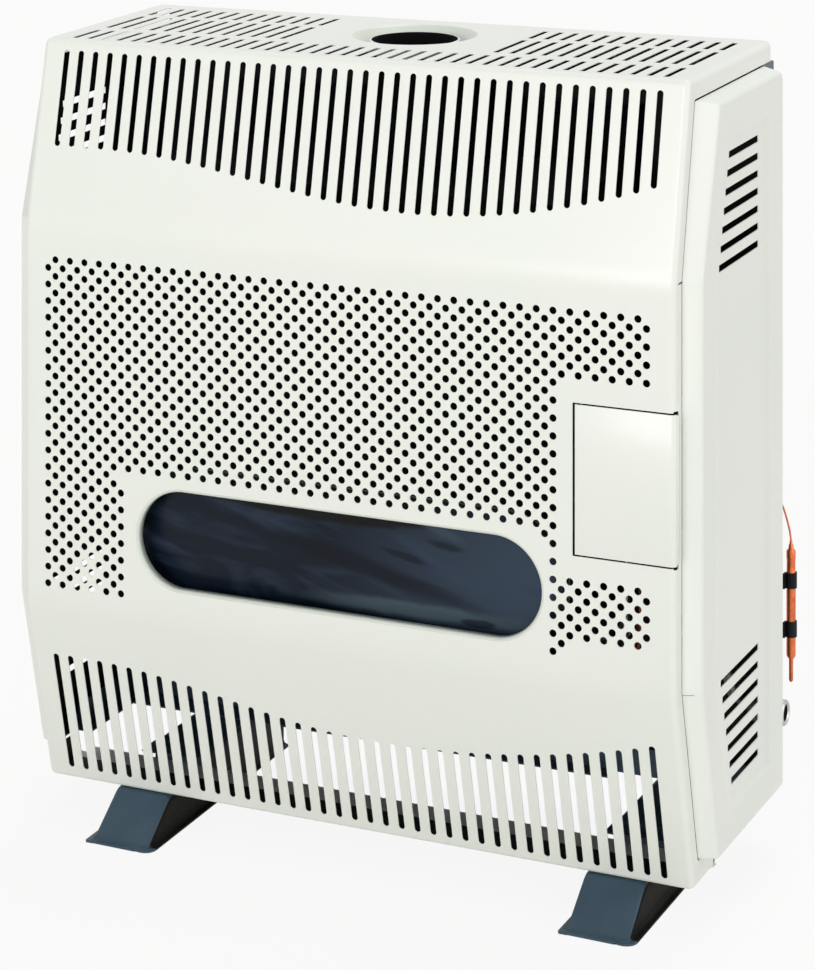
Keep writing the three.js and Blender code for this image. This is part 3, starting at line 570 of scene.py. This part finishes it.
def lathe(profile, foot, axis="up", around=48, closed=False, flute=None):
    # a line of (radius, height) turned round an axis: (r cos t, r sin t, h); it looks out where it runs down
    profile = np.asarray(profile, float)
    turn = np.arange(around) / around * 2 * np.pi
    radius = profile[:, :1] * np.ones(around)
    if flute is not None:
        radius = radius + flute(profile[:, :1], profile[:, 1:], turn[None])
    height = profile[:, 1:] * np.ones(around)
    points = axes[axis](radius * np.cos(turn), radius * np.sin(turn), height) + np.array(foot, float)
    return gridShape(points, closeRows=closed, closeColumns=True)


sharpFold = 35  # degrees; sharper folds stay crisp in the shading


def newMesh(name, shape):
    points, faces = shape
    mesh = bpy.data.meshes.new(name)
    mesh.from_pydata(place(points).tolist(), [], faces)
    return mesh


def makePiece(name, shape, finish, body="casing", sharp=sharpFold):
    mesh = newMesh(name, shape)
    mesh.shade_smooth()
    mesh.set_sharp_from_angle(angle=np.radians(sharp))
    mesh.materials.append(finishes[finish]["material"])
    piece = addObject(name, mesh)
    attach(piece, body)
    return piece


def thicken(piece, sheet, inner=None):  # a wall behind the faces, whose back may have a finish of its own
    wall = piece.modifiers.new("sheet", "SOLIDIFY")
    wall.thickness = sheet / 1000
    wall.offset = -1
    wall.use_even_offset = True
    if inner:
        piece.data.materials.append(finishes[inner]["material"])
        wall.material_offset = 1


def faceValues(piece, what):  # the center or the normal of each face
    values = np.empty(len(piece.data.polygons) * 3)
    piece.data.polygons.foreach_get(what, values)
    return values.reshape(-1, 3)


def faceMiddles(piece):  # in millimetres on the heater
    return (faceValues(piece, "center") - origin) * 1000


def repaint(piece, chosen, slot):  # the chosen faces take the finish in that slot of the piece
    slots = np.empty(len(piece.data.polygons), np.int32)
    piece.data.polygons.foreach_get("material_index", slots)
    piece.data.polygons.foreach_set("material_index", np.where(chosen, slot, slots).astype(np.int32))


def soften(piece, width):
    edge = piece.modifiers.new("edge", "BEVEL")
    edge.width = width / 1000
    edge.segments = 2
    edge.limit_method = "ANGLE"
    edge.angle_limit = np.radians(40)


def weightNormals(piece):
    normals = piece.modifiers.new("normals", "WEIGHTED_NORMAL")
    normals.keep_sharp = True


def settle(piece):  # the modifiers become the mesh
    shape = bpy.data.meshes.new_from_object(piece.evaluated_get(bpy.context.evaluated_depsgraph_get()))
    piece.modifiers.clear()
    piece.data = shape
    shape.name = piece.name


def punch(piece, *shapes):  # takes each shape out of a closed sheet
    settle(piece)
    for shape in shapes:
        tool = addObject("punch", newMesh("punch", shape))
        cut = piece.modifiers.new("cut", "BOOLEAN")
        cut.operation = "DIFFERENCE"
        cut.solver = "MANIFOLD"
        cut.object = tool
        settle(piece)
        bpy.data.objects.remove(tool)
    piece.data.set_sharp_from_angle(angle=np.radians(sharpFold))
    print("heater:", piece.name, "has", len(piece.data.polygons), "faces")


cover = {
    "half": 331,
    "edge": 6,  # radius of the upright edges
    "sheet": 0.8,
    "side": [(271, 760), (39.15, 760), (0, 586), (0, 224), (49.4, 37), (99, 37), (104, 37), (126, 37)],
    "bends": [5, 12, 12, 4, 2, 1],
    "edgeShare": [1, 1, 1, 1, 1, 1, 0.15, 0.15],  # how much of the edge radius each corner keeps
    "lip": [(271, 741), (50.9, 741), (16, 586), (16, 224), (59.3, 60), (102, 60), (102, 38.6), (126, 38.4)],
    "lipBends": [2, 1.5, 1.5, 2, 5, 0.8],
    "flange": (85, 41),  # the lower flange lies behind this y and below this height
    "punch": (-2, 9),  # depths at which a punch starts and ends
    "slotLevels": [(-0.5, 0.65), (0.25, 0), (9, 0)],  # depth and growth: a little rounded at the edge
    "columns": 77,  # places across the front; slots and pinholes stand on every other one
    "pitch": 8,
    "slotWidth": 6,
    "slotTop": 750,
    "slotFoot": (48.5, 44.5),  # lower ends of the lower slots, at the left and at the right
    "upperWave": {"flat": 6, "dip": 47, "high": 660, "low": 626, "rise": 0.0475},
    "lowerWave": {"flat": 4, "dip": 42, "high": 169, "low": 132.5, "rise": 0.036},
    "topSlots": [  # y from and to, first and last place
        (50.5, 102, 0, 76), (117, 194, 0, 24), (117, 194, 52, 76), (204, 250, 0, 24), (204, 250, 52, 76),
    ],
    "topCorner": 1.2,
    "pinhole": 7,
    "pinTop": 554,
    "pinRows": 40,
    "pinPunch": (-1, 9),
    "pinBlocks": [  # first and last row, first and last place: a field with a wavy edge, and a patch
        (0, 7, 0, 76), (0, 24, 0, 65), (25, 39, 0, 8), (26, 39, 9, 9), (27, 39, 10, 10), (30, 36, 65, 76),
        (25, 25, 64, 64), (26, 26, 65, 65), (28, 28, 65, 65), (37, 37, 66, 66), (38, 38, 65, 65),
    ],
    "window": [(0, 300), (204.5, 46)],  # middle and half sizes of the round-ended opening
    "rim": 3,
    "rimDepth": 8,
    "doorCuts": [
        ((234.6, -2, 337.5), (345, 8.6, 474)),  # the opening, round the right edge
        ((328.5, -2, 336.1), (340, 8, 338.3)),  # relief notches at its corners
        ((328.5, -2, 473.2), (340, 8, 475.4)),
    ],
    "sideCuts": [  # on the right, mirrored on the left
        ((327, 7, 585.2), (335, 20, 586.8)),  # relief slit where the front folds
        ((323, 111, 30), (339, 140, 45)),  # corner of the lower flange
    ],
}

flue = {
    "foot": (0, 185, 0),
    "opening": 61,  # radius, in the cover
    "dish": [(46.4, 744.6), (46.4, 746.4), (50.4, 746.8), (60, 759.2), (61.3, 760)],
    "dishBends": [0.6, 2.5, 1],
    "rim": (42.75, 754.25),  # radius and height of the middle of the turned-in rim
    "roll": 1.75,
    "collar": [(42.2, 744), (44.5, 744)],  # foot of the bright part, inside and outside
    "liner": [(42.1, 743.9), (44, 743.9)],  # head of the dark part below it, whose black is painted shade
    "bore": 41,
}

hinge = {
    "pin": (241, 6),  # across and back
    "corner": 1.4,
    "tabs": {"middle": (241, 5.3), "half": (4, 4.7), "hole": 1.25, "levels": [(332, 334), (477.5, 479.5)]},
    "ears": {"middle": (241, 4.6), "half": (2.6, 4), "hole": 1.4, "levels": [(342, 344), (467.5, 469.5)]},
}


def coverSheet(look):
    # the side line carried across: at an angle a round the upright edge it lies r(1 - cos a) in from the side
    # and r(1 - sin a) in from the front
    side, half, edge = np.array(look["side"]), look["half"], look["edge"]
    a = np.linspace(0, np.pi / 2, 6)
    drawIn = mitre(side) * np.array(look["edgeShare"])[:, None]
    front = softPath(side[:, None] + drawIn[:, None] * (edge * (1 - np.sin(a)))[None, :, None], look["bends"])
    inner = softPath(look["lip"], look["lipBends"])[:, None]
    line = np.concatenate([inner, front], axis=1)
    across = np.concatenate([[half], half - edge * (1 - np.cos(a))])
    left = np.concatenate([-across[None, :, None].repeat(len(line), axis=0), line], axis=2)
    right = left[:, ::-1] * np.array([-1, 1, 1])
    return gridShape(np.concatenate([left, right], axis=1))


def waveEnd(i, wave):
    # the wavy line on which slots end, by place: level, half a cosine down to the dip, then a parabola up
    high, low, flat, dip = (wave[name] for name in ("high", "low", "flat", "dip"))
    falling = (high + low) / 2 + (high - low) / 2 * np.cos(np.pi * (i - flat) / (dip - flat))
    return np.where(i <= flat, high, np.where(i <= dip, falling, low + wave["rise"] * (i - dip) ** 2))


def coverSlots(look):
    pitch, half, levels, last = look["pitch"], look["slotWidth"] / 2, look["slotLevels"], look["columns"] - 1
    i = np.arange(0, last + 1, 2)
    footLeft, footRight = look["slotFoot"]
    foot = footLeft + (footRight - footLeft) * i / last
    upper = np.column_stack([waveEnd(i, look["upperWave"]), np.full(len(i), look["slotTop"])])
    lower = np.column_stack([foot, waveEnd(i, look["lowerWave"])])
    slots = []
    for ends in (upper, lower):
        centres = np.column_stack([pitch * (i - last / 2), ends.mean(axis=1)])
        halves = np.column_stack([np.full(len(i), half), np.diff(ends, axis=1)[:, 0] / 2])
        slots.append(holes(centres, halves, half, "front", levels))
    for start, end, leftPlace, rightPlace in look["topSlots"]:
        x = pitch * (np.arange(leftPlace, rightPlace + 1, 2) - last / 2)
        centres = np.column_stack([x, np.full(len(x), (start + end) / 2)])
        slots.append(holes(centres, (half, (end - start) / 2), look["topCorner"], "top", levels, 3))
    return together(*slots)


def pinholes(look):  # on every other point of a square grid
    field = np.zeros((look["columns"], look["pinRows"]), bool)
    for top, bottom, left, right in look["pinBlocks"]:
        field[left : right + 1, top : bottom + 1] = True
    i, j = np.nonzero(field & (np.indices(field.shape).sum(axis=0) % 2 == 1))
    x = look["pitch"] * (i - (look["columns"] - 1) / 2)
    centres = np.column_stack([x, look["pinTop"] - look["pitch"] * j])
    return drill(centres, look["pinhole"] / 2, "front", look["pinPunch"], 3)


def coverHoles(look):
    middle, half = look["window"]
    window = holes(middle, half, half[1], "front", [(depth, look["rim"]) for depth in look["punch"]], 16)
    opening = drill(flue["foot"][:2], flue["opening"], "top", look["punch"], 24)
    cuts = [box(low, high) for low, high in look["doorCuts"]]
    for low, high in look["sideCuts"]:
        cuts += [box((-high[0], *low[1:]), (-low[0], *high[1:])), box(low, high)]
    return [coverSlots(look), pinholes(look), together(window, opening), *cuts]


def windowRim(look):
    # the round-ended opening with its edge rolled in: a quarter turn of the rim radius, then straight back
    middle, half = look["window"]
    a = np.linspace(0, np.pi / 2, 6)
    grow = np.append(look["rim"] * (1 - np.sin(a)), 0)
    depth = np.append(look["rim"] * (1 - np.cos(a)), look["rimDepth"])
    lines = [roundedOutlines(middle, half, half[1], reach, 16)[0] for reach in grow]
    points = np.stack([facings["front"](*line.T, back) for line, back in zip(lines, depth)], axis=1)
    return gridShape(points, closeRows=True)


def drilledTabs(tab):
    # flat tabs with a round hole for the pin: a ring of the outline and a ring of the hole, above and below
    outer = roundedOutlines(tab["middle"], tab["half"], hinge["corner"], 0, 4)[0]
    inner = roundedOutlines(hinge["pin"], (tab["hole"], tab["hole"]), tab["hole"], 0, 4)[0]
    shapes = []
    for low, high in tab["levels"]:
        rings = [(inner, high), (outer, high), (outer, low), (inner, low)]
        points = np.stack([np.column_stack([ring, np.full(len(ring), z)]) for ring, z in rings])
        shapes.append(gridShape(points, closeRows=True, closeColumns=True))
    return together(*shapes)


frontCover = makePiece("frontCover", coverSheet(cover), "enamel")
# the back of the sheet wears the painted shade of the casing's inside
thicken(frontCover, cover["sheet"], "insideShade")
punch(frontCover, *coverHoles(cover))
middles, (behind, below) = faceMiddles(frontCover), cover["flange"]
repaint(frontCover, (middles[:, 1] > behind) & (middles[:, 2] < below), 0)  # the flange's inside keeps the enamel instead of the painted inside shade
weightNormals(frontCover)
# the window's rim and the flue's dish take the painted shade of the hollows
rimPiece = makePiece("windowRim", windowRim(cover), "hollowShadeEnamel")
thicken(rimPiece, cover["sheet"])
dishLine = softPath(flue["dish"], flue["dishBends"])
dishPiece = makePiece("flueDish", lathe(dishLine, flue["foot"], around=96), "hollowShadeEnamel")
thicken(dishPiece, cover["sheet"])
tabPiece = makePiece("hingeTabs", drilledTabs(hinge["tabs"]), "enamel")
for piece in (frontCover, rimPiece, dishPiece, tabPiece):
    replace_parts(piece, "front_cover")
print("heater: front cover made")


def pressedPan(look, facing):
    # closed outlines at their depths, joined ring to ring along soft paths, with the last ring filled
    levels = []
    for depth, outline in look["rings"]:
        levels.append(facings[facing](*softPath(outline, look["corners"], 5, closed=True).T, depth))
    points = softPath(levels, look["bends"], 5)
    rows, around = points.shape[:2]
    sides = gridFaces(rows, around, closeColumns=True)[:, ::-1]
    return points.reshape(-1, 3), sides.tolist() + [((rows - 1) * around + np.arange(around)).tolist()]


panel = {
    "sheet": 0.8,
    "rings": [  # depth below the face, and the outline's y and height, from the foot to the pressed field
        (17.2, [(256, 739.6), (50.9, 739.6), (16.3, 586), (16.3, 224), (59.1, 62), (256, 62)]),
        (0, [(256, 735), (71, 735), (23.3, 586), (23.3, 224), (66.1, 62), (256, 62)]),
        (0, [(214, 700), (91, 700), (57, 595), (57, 213), (93, 92), (214, 92)]),
        (2.6, [(209, 695), (106, 692), (73, 592), (73, 216), (108, 100), (209, 97)]),
        (2.6, [(205, 691), (110, 688), (77, 591), (77, 217), (112, 104), (205, 101)]),
    ],
    "bends": [4, 1.5, 1.5],
    "corners": [9, 2, 2, 2, 2, 2],
    "slots": 7,
    "pitch": 16.2,
    "rise": 6.5,
    "rear": 187,
    "slotFronts": [(586.5, 74, 0.275), (116.5, 108.5, -0.306)],  # lowest slot, its front end, that end's lean
    "slotLevels": [(-1, 0.6), (2.8, 0), (9, 0)],
    "slotCorner": 0.8,
    "slit": [(330, 10, 221.7), (341, 24, 222.3)],  # relief cut where the bevel folds
}


def panelSlots(look):
    step = look["pitch"] * np.arange(look["slots"])
    z, front = np.hstack([(low + step, end + lean * step) for low, end, lean in look["slotFronts"]])
    centres = np.column_stack([(front + look["rear"]) / 2, z])
    halves = np.column_stack([(look["rear"] - front) / 2, np.full(len(z), look["rise"] / 2)])
    return holes(centres, halves, look["slotCorner"], "side", look["slotLevels"], 3)


panelRight = makePiece("sidePanelRight", pressedPan(panel, "side"), "sidePaint")
thicken(panelRight, panel["sheet"], "insideShade")
punch(panelRight, panelSlots(panel), box(*panel["slit"]))
mirrored = panelRight.data.copy()
mirrored.name = "sidePanelLeft"
mirrored.transform(Matrix.Translation((origin[0] * 2, 0, 0)) @ Matrix.Diagonal((-1, 1, 1, 1)))
mirrored.flip_normals()
panelLeft = addObject("sidePanelLeft", mirrored)
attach(panelLeft, "casing")
for piece, node in ((panelRight, "side_panel_right"), (panelLeft, "side_panel_left")):
    weightNormals(piece)
    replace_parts(piece, node)


def rectangle(half, low, high):
    return [(-half, low), (half, low), (half, high), (-half, high)]


backPan = {
    "sheet": 1.2,
    "rings": [
        (34, rectangle(331, 62, 740)),
        (0, rectangle(331, 62, 740)),
        (0, rectangle(290, 105, 700)),
        (0.6, rectangle(282, 113, 692)),
        (0.6, rectangle(276, 119, 686)),
    ],
    "bends": [4, 3, 3],
    "corners": [1.2, 1.2, 1.2, 1.2],
    "airSlot": [(-311, 245, 50), (311, 270, 70)],  # out of the lower flange
    "inletHole": {"centres": (270, 124), "radius": 12.6, "facing": "side", "depths": (10, 28), "steps": 8},
    "wireHole": {"centres": (-316, 327), "radius": 3.2, "facing": "back", "depths": (-2, 8), "steps": 4},
    "upstand": [(311, 263.2, 740.05), (-311, 263.2, 740.05), (-311, 263.2, 758.4), (311, 263.2, 758.4)],
}

upstand = (np.array(backPan["upstand"]), [[0, 1, 2, 3]])
backPiece = makePiece("backFrame", together(pressedPan(backPan, "back"), upstand), "slateEnamel")
thicken(backPiece, backPan["sheet"], "insideShade")
punch(backPiece, drill(**backPan["inletHole"]), drill(**backPan["wireHole"]), box(*backPan["airSlot"]))
weightNormals(backPiece)
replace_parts(backPiece, "rear_frame")
print("heater: side panels and back made")


foot = {
    "lefts": {"footLeft": (-262, "foot_left"), "footRight": (221, "foot_right")},
    "width": 72,
    "rim": 6.5,
    "sheet": 2,
    "wall": 1.75,  # thinner than the sheet, so that the flared rim stays off the floor
    "toe": -3,
    "side": [(-3, 2), (3, 2), (49.5, 36.7), (127, 36.7), (129, 54.5), (297, 54.5)],  # y and the top's height
    "bends": [4, 6, 2, 2],
    "least": 2.5,  # height at the tip of the toe
    "toeRound": (3, 11),  # left and right corner of the toe
    "topRound": (5, 9),
    "flare": 5,
    "hook": (100, 130.6),  # y of the lip that reaches forward over the casing's flange
    "edge": 0.6,
    "flankShade": {"steep": 0.75, "above": 4, "behind": 12},  # where the walls and the right rim take the painted shade
}


def pressedFoot(look, left):
    # the section (rim, flare, wall, round, top and the same down) carried back along y under the side line
    toe, (leftRound, rightRound) = look["toe"], look["toeRound"]
    side = softPath(look["side"], look["bends"])
    near = toe + rightRound * (1 - np.cos(np.linspace(0, np.pi / 2, 8)))
    y = np.concatenate([near, side[side[:, 0] > near[-1] + 0.5, 0]])
    high = np.maximum(np.interp(y, side[:, 0], side[:, 1]), look["least"])

    def bite(radius):  # how far the rounded toe draws in
        short = np.maximum(0, radius - (y - toe))
        return radius - np.sqrt(np.maximum(radius**2 - short**2, 0))

    first, last = left + bite(leftRound), left + look["width"] - bite(rightRound)
    rim, low = look["rim"], np.full(len(y), float(look["sheet"]))
    inLeft, inRight = first + rim, last - rim
    line = [(first, low), (inLeft, low), (inLeft, high), (inRight, high), (inRight, low), (last, low)]
    # a wall's two curves share its height
    cuts = np.array([look["flare"], *look["topRound"], look["flare"]])[:, None]
    points = softPath(np.array(line).transpose(0, 2, 1), np.minimum(cuts, (high - low) / 2.2))
    full = np.stack(np.broadcast_arrays(points[..., 0], y, points[..., 1]), axis=-1)
    hook = zip((inLeft[-1], inRight[-1], inRight[-1], inLeft[-1]), np.repeat(look["hook"], 2))
    lip = np.array([(x, back, look["side"][-1][1]) for x, back in hook])
    return together(gridShape(full), (lip, [[0, 1, 2, 3]]))


flankShade = foot["flankShade"]
for name, (left, node) in foot["lefts"].items():
    piece = makePiece(name, pressedFoot(foot, left), "slateEnamel")
    thicken(piece, foot["wall"], "shadedSlate")
    soften(piece, foot["edge"])
    settle(piece)
    # the steep walls and the right rim take slot 1, the painted shade
    middles, rimStart = faceMiddles(piece), left + foot["width"] - foot["rim"]
    walls = (abs(faceValues(piece, "normal")[:, 0]) > flankShade["steep"]) & (middles[:, 2] > flankShade["above"])
    repaint(piece, walls | ((middles[:, 0] > rimStart) & (middles[:, 1] > flankShade["behind"])), 1)
    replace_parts(piece, node)
print("heater: feet made")


door = {
    "line": [(236.6, 3.2), (236.6, 0), (331, 0), (331, 5)],
    "bends": [0.8, 6],
    "low": 339,
    "high": 472.4,
    "corner": 3.5,  # radius of the two corners at the free end
    "sheet": 1.2,
    "edge": 0.3,
}


def doorSheet(look):
    # the plan line carried up; near its end, where s is the way to the end, the height loses
    # c - sqrt(c^2 - (c - s)^2)
    line = softPath(look["line"], look["bends"], 9)
    lastStretch = (line[-1] - line[-2]) * np.linspace(0.25, 1, 4)[:, None]  # in four, for the round corners
    line = np.vstack([line[:-1], line[-2] + lastStretch])
    toEnd = np.append(np.cumsum(np.linalg.norm(np.diff(line, axis=0), axis=1)[::-1])[::-1], 0)
    corner = look["corner"]
    loss = corner - np.sqrt(corner**2 - np.maximum(0, corner - toEnd) ** 2)
    levels = [look["low"] + loss, look["high"] - loss]
    return gridShape(np.stack([np.column_stack([line, level]) for level in levels], axis=1))


doorPiece = makePiece("controlDoor", doorSheet(door), "enamel", "control_door")
thicken(doorPiece, door["sheet"], "insideShade")
soften(doorPiece, door["edge"])
earPiece = makePiece("doorEars", drilledTabs(hinge["ears"]), "enamel", "control_door")
for piece in (doorPiece, earPiece):
    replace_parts(piece, "control_door")


def rolledRim(start, end):  # part of the turned-in rim: middle + roll * (cos, sin) between two shares of pi
    a = np.linspace(start, end, 7) * np.pi
    return np.array(flue["rim"]) + flue["roll"] * np.column_stack([np.cos(a), np.sin(a)])


# the bore is black up to the rim's crown, as painted shade, so the liner takes the rim's inner part and the
# collar the rest
bottom, (inside, outside), bore = millimetres("flue_spigot")[0][2], flue["liner"], flue["bore"]
collarLine = np.vstack([flue["collar"][:1], rolledRim(0.6, 0), flue["collar"][1:]])
linerLine = np.vstack([[(bore, bottom)], rolledRim(1, 0.616), [inside, outside, (outside[0], bottom)]])
for name, line, finish in (("flueCollar", collarLine, "aluminium"), ("flueLiner", linerLine, "shadedBlack")):
    shape = lathe(line, flue["foot"], around=96, closed=True)
    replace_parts(makePiece(name, shape, finish), "flue_spigot")

bulb = {
    "foot": (344.5, 292.5, 0),
    "line": [
        (0, 281), (1.1, 281), (1.4, 280.4), (1.5, 277.6), (2.3, 276.6), (2.5, 273.4), (4.1, 271.4),
        (4.4, 270.6), (4.4, 264), (4.15, 263.4), (4.15, 252), (4.4, 251.2), (4.4, 172.6), (4.1, 170.6),
        (2.6, 168.6), (2.1, 167.6), (2.0, 166), (2.0, 148.4), (1.7, 147), (1.0, 146.2), (0, 146),
    ],
}
bulbPiece = makePiece("thermostatBulb", lathe(bulb["line"], bulb["foot"], around=32), "copper", sharp=50)
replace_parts(bulbPiece, "thermostat_bulb")

gasFitting = {
    "foot": (0, 270, 124),
    "bore": 7.8,
    "outside": 12,
    "nose": [
        (7.8, 345.6), (9, 347), (10.8, 347), (12, 345.8), (12, 341), (11.4, 340.4), (11.4, 339), (12, 338.4),
    ],
    "boreShade": 8.2,  # what lies within this radius is the bore, painted black as painted shade
}
inner = millimetres("gas_inlet_socket")[0][0]
socketLine = [(gasFitting["bore"], inner), *gasFitting["nose"], (gasFitting["outside"], inner)]
socket = makePiece("gasInletSocket", lathe(socketLine, gasFitting["foot"], "right", closed=True), "steel")
# the bore takes black paint: painted shade inside the socket
socket.data.materials.append(finishes["blackPaint"]["material"])
reach = np.linalg.norm((faceMiddles(socket) - gasFitting["foot"])[:, 1:], axis=1)
repaint(socket, reach < gasFitting["boreShade"], 1)
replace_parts(socket, "gas_inlet_socket")
print("heater: flue, bulb and gas fitting made")


knob = {"x": 284, "z": 428, "front": 14, "rear": 34, "radius": 23, "flutes": 18, "depth": 0.7}


def knobShape(look):
    # a turned line whose skirt is fluted: the radius changes by depth * cos(flutes * t) along the grip
    long = look["rear"] - look["front"]
    r = look["radius"]
    line = [
        (0, long - 0.4), (8, long), (r - 6, long), (r - 4.4, long - 0.5), (r - 3.5, long - 2), (r - 3, 7),
        (r - 2, 6.2), (r - 0.6, 5.6), (r, 4.6), (r, 1), (r - 1, 0), (0, 0),
    ]

    def flute(radius, height, turn):
        return look["depth"] * np.cos(look["flutes"] * turn) * ((radius > r - 5) & (height > 6.5))

    return lathe(line, (look["x"], look["rear"], look["z"]), "front", 108, flute=flute)


knobPiece = makePiece("thermostatKnob", knobShape(knob), "blackPlastic", "thermostat_knob", 40)
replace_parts(knobPiece, "thermostat_knob")
print("heater: knob made")


# The parts that keep their own shape, by finish.
keptParts = {
    "slateEnamel": ["base_frame"],
    # the parts deep inside take the darker black of painted shade
    "shadedBlack": [
        "combustion_chamber", "heat_shield", "draught_diverter",
        "chamber_bracket_left", "chamber_bracket_right",
    ],
    "blackPaint": [
        "window_frame", "burner_tray", "burner_tube",
        "control_bracket", "pilot_bracket", "injector_bracket",
    ],
    "fibre": ["glass_gasket"],
    "glass": ["window_glass"],
    "steel": [
        "pilot_burner", "thermocouple", "spark_electrode", "valve_plunger", "knob_stem", "door_pin_upper",
        "door_pin_lower", "burner_feed_pipe", "gas_inlet_pipe",
    ],
    "dullSteel": ["door_magnet"],
    "aluminium": ["gas_valve", "pilot_tube"],
    "brass": ["gas_injector"],
    "copper": ["capillary_tube", "thermocouple_lead"],
    "blackPlastic": ["bulb_clip_upper", "bulb_clip_lower", "piezo_igniter", "ignition_lead"],
    "redPlastic": ["igniter_button"],
}
for finish, names in keptParts.items():
    for name in names:
        for slot in nodes[name].material_slots:
            slot.link = "OBJECT"
            slot.material = finishes[finish]["material"]
print("heater: finishes put on", sum(len(names) for names in keptParts.values()), "kept parts")


studio = {
    "worldStrength": 0.35,
    "suns": {
        "sunFront": {"toward": (-0.1, -0.98, 0.08), "strength": 1.68, "spread": 30},
        "sunRight": {"toward": (0.95, -0.1, 0.3), "strength": 1.12, "spread": 60},
        "sunTop": {"toward": (0, 0.4, 0.92), "strength": 1.05, "spread": 30},
    },
    "sunDistance": 3000,
    "floorRadius": 9000,
    "floorDrop": 0.3,  # how far the floor lies below the soles
    "floorColour": (0.75, 0.75, 0.7, 1),
    "floorWhite": 0.9,  # share of plain white that the camera sees on the floor; the rest takes the shadow
}


def viewerShare(tree):  # 1 for camera, glossy and transmission rays, 0 for the rest
    path = addNode(tree, "ShaderNodeLightPath").outputs
    seen = calculate(tree, "MAXIMUM", path["Is Camera Ray"], path["Is Glossy Ray"])
    return calculate(tree, "MAXIMUM", seen, path["Is Transmission Ray"])


def showWhite(tree, lit, kind, share, output):
    # the viewer's rays meet plain white by that share, and all other rays the lit shader alone
    white = addNode(tree, kind, {"Color": (1, 1, 1, 1), "Strength": 1.0})
    factor = calculate(tree, "MULTIPLY", viewerShare(tree), share)
    mix = addNode(tree, "ShaderNodeMixShader", {0: factor, 1: lit.outputs[0], 2: white.outputs[0]})
    tree.links.new(mix.outputs[0], tree.nodes[output].inputs["Surface"])


def makeWorld(studio):
    world = bpy.data.worlds.new("studio")
    world.use_nodes = True
    lit = world.node_tree.nodes["Background"]
    lit.inputs["Color"].default_value = (1, 1, 1, 1)
    lit.inputs["Strength"].default_value = studio["worldStrength"]
    showWhite(world.node_tree, lit, "ShaderNodeBackground", 1.0, "World Output")
    bpy.context.scene.world = world


def makeFloor(studio):
    # a round sheet far wider than the view: radius * (cos, sin); the viewer sees white with a little shadow
    turn = np.arange(64) / 64 * 2 * np.pi
    across, back = studio["floorRadius"] * np.array([np.cos(turn), np.sin(turn)])
    points = np.column_stack([across, back, np.full(len(turn), -studio["floorDrop"])])
    floor = addObject("floor", newMesh("floor", (points, [list(range(len(turn)))])))
    material, tree, shader = newMaterial("floor")
    shader.inputs["Base Color"].default_value = studio["floorColour"]
    shader.inputs["Roughness"].default_value = 1
    shader.inputs["Specular IOR Level"].default_value = 0
    showWhite(tree, shader, "ShaderNodeEmission", studio["floorWhite"], "Material Output")
    floor.data.materials.append(material)


bpy.context.scene.view_settings.view_transform = "Standard"
makeWorld(studio)
makeFloor(studio)
for name, look in studio["suns"].items():
    lamp = addObject(name, bpy.data.lights.new(name, "SUN"))
    lamp.data.energy = look["strength"]
    lamp.data.angle = np.radians(look["spread"])
    lamp.location = place(np.array(look["toward"]) * studio["sunDistance"])
    lamp.rotation_euler = Vector(look["toward"]).to_track_quat("Z", "Y").to_euler()
print("heater: studio ready")
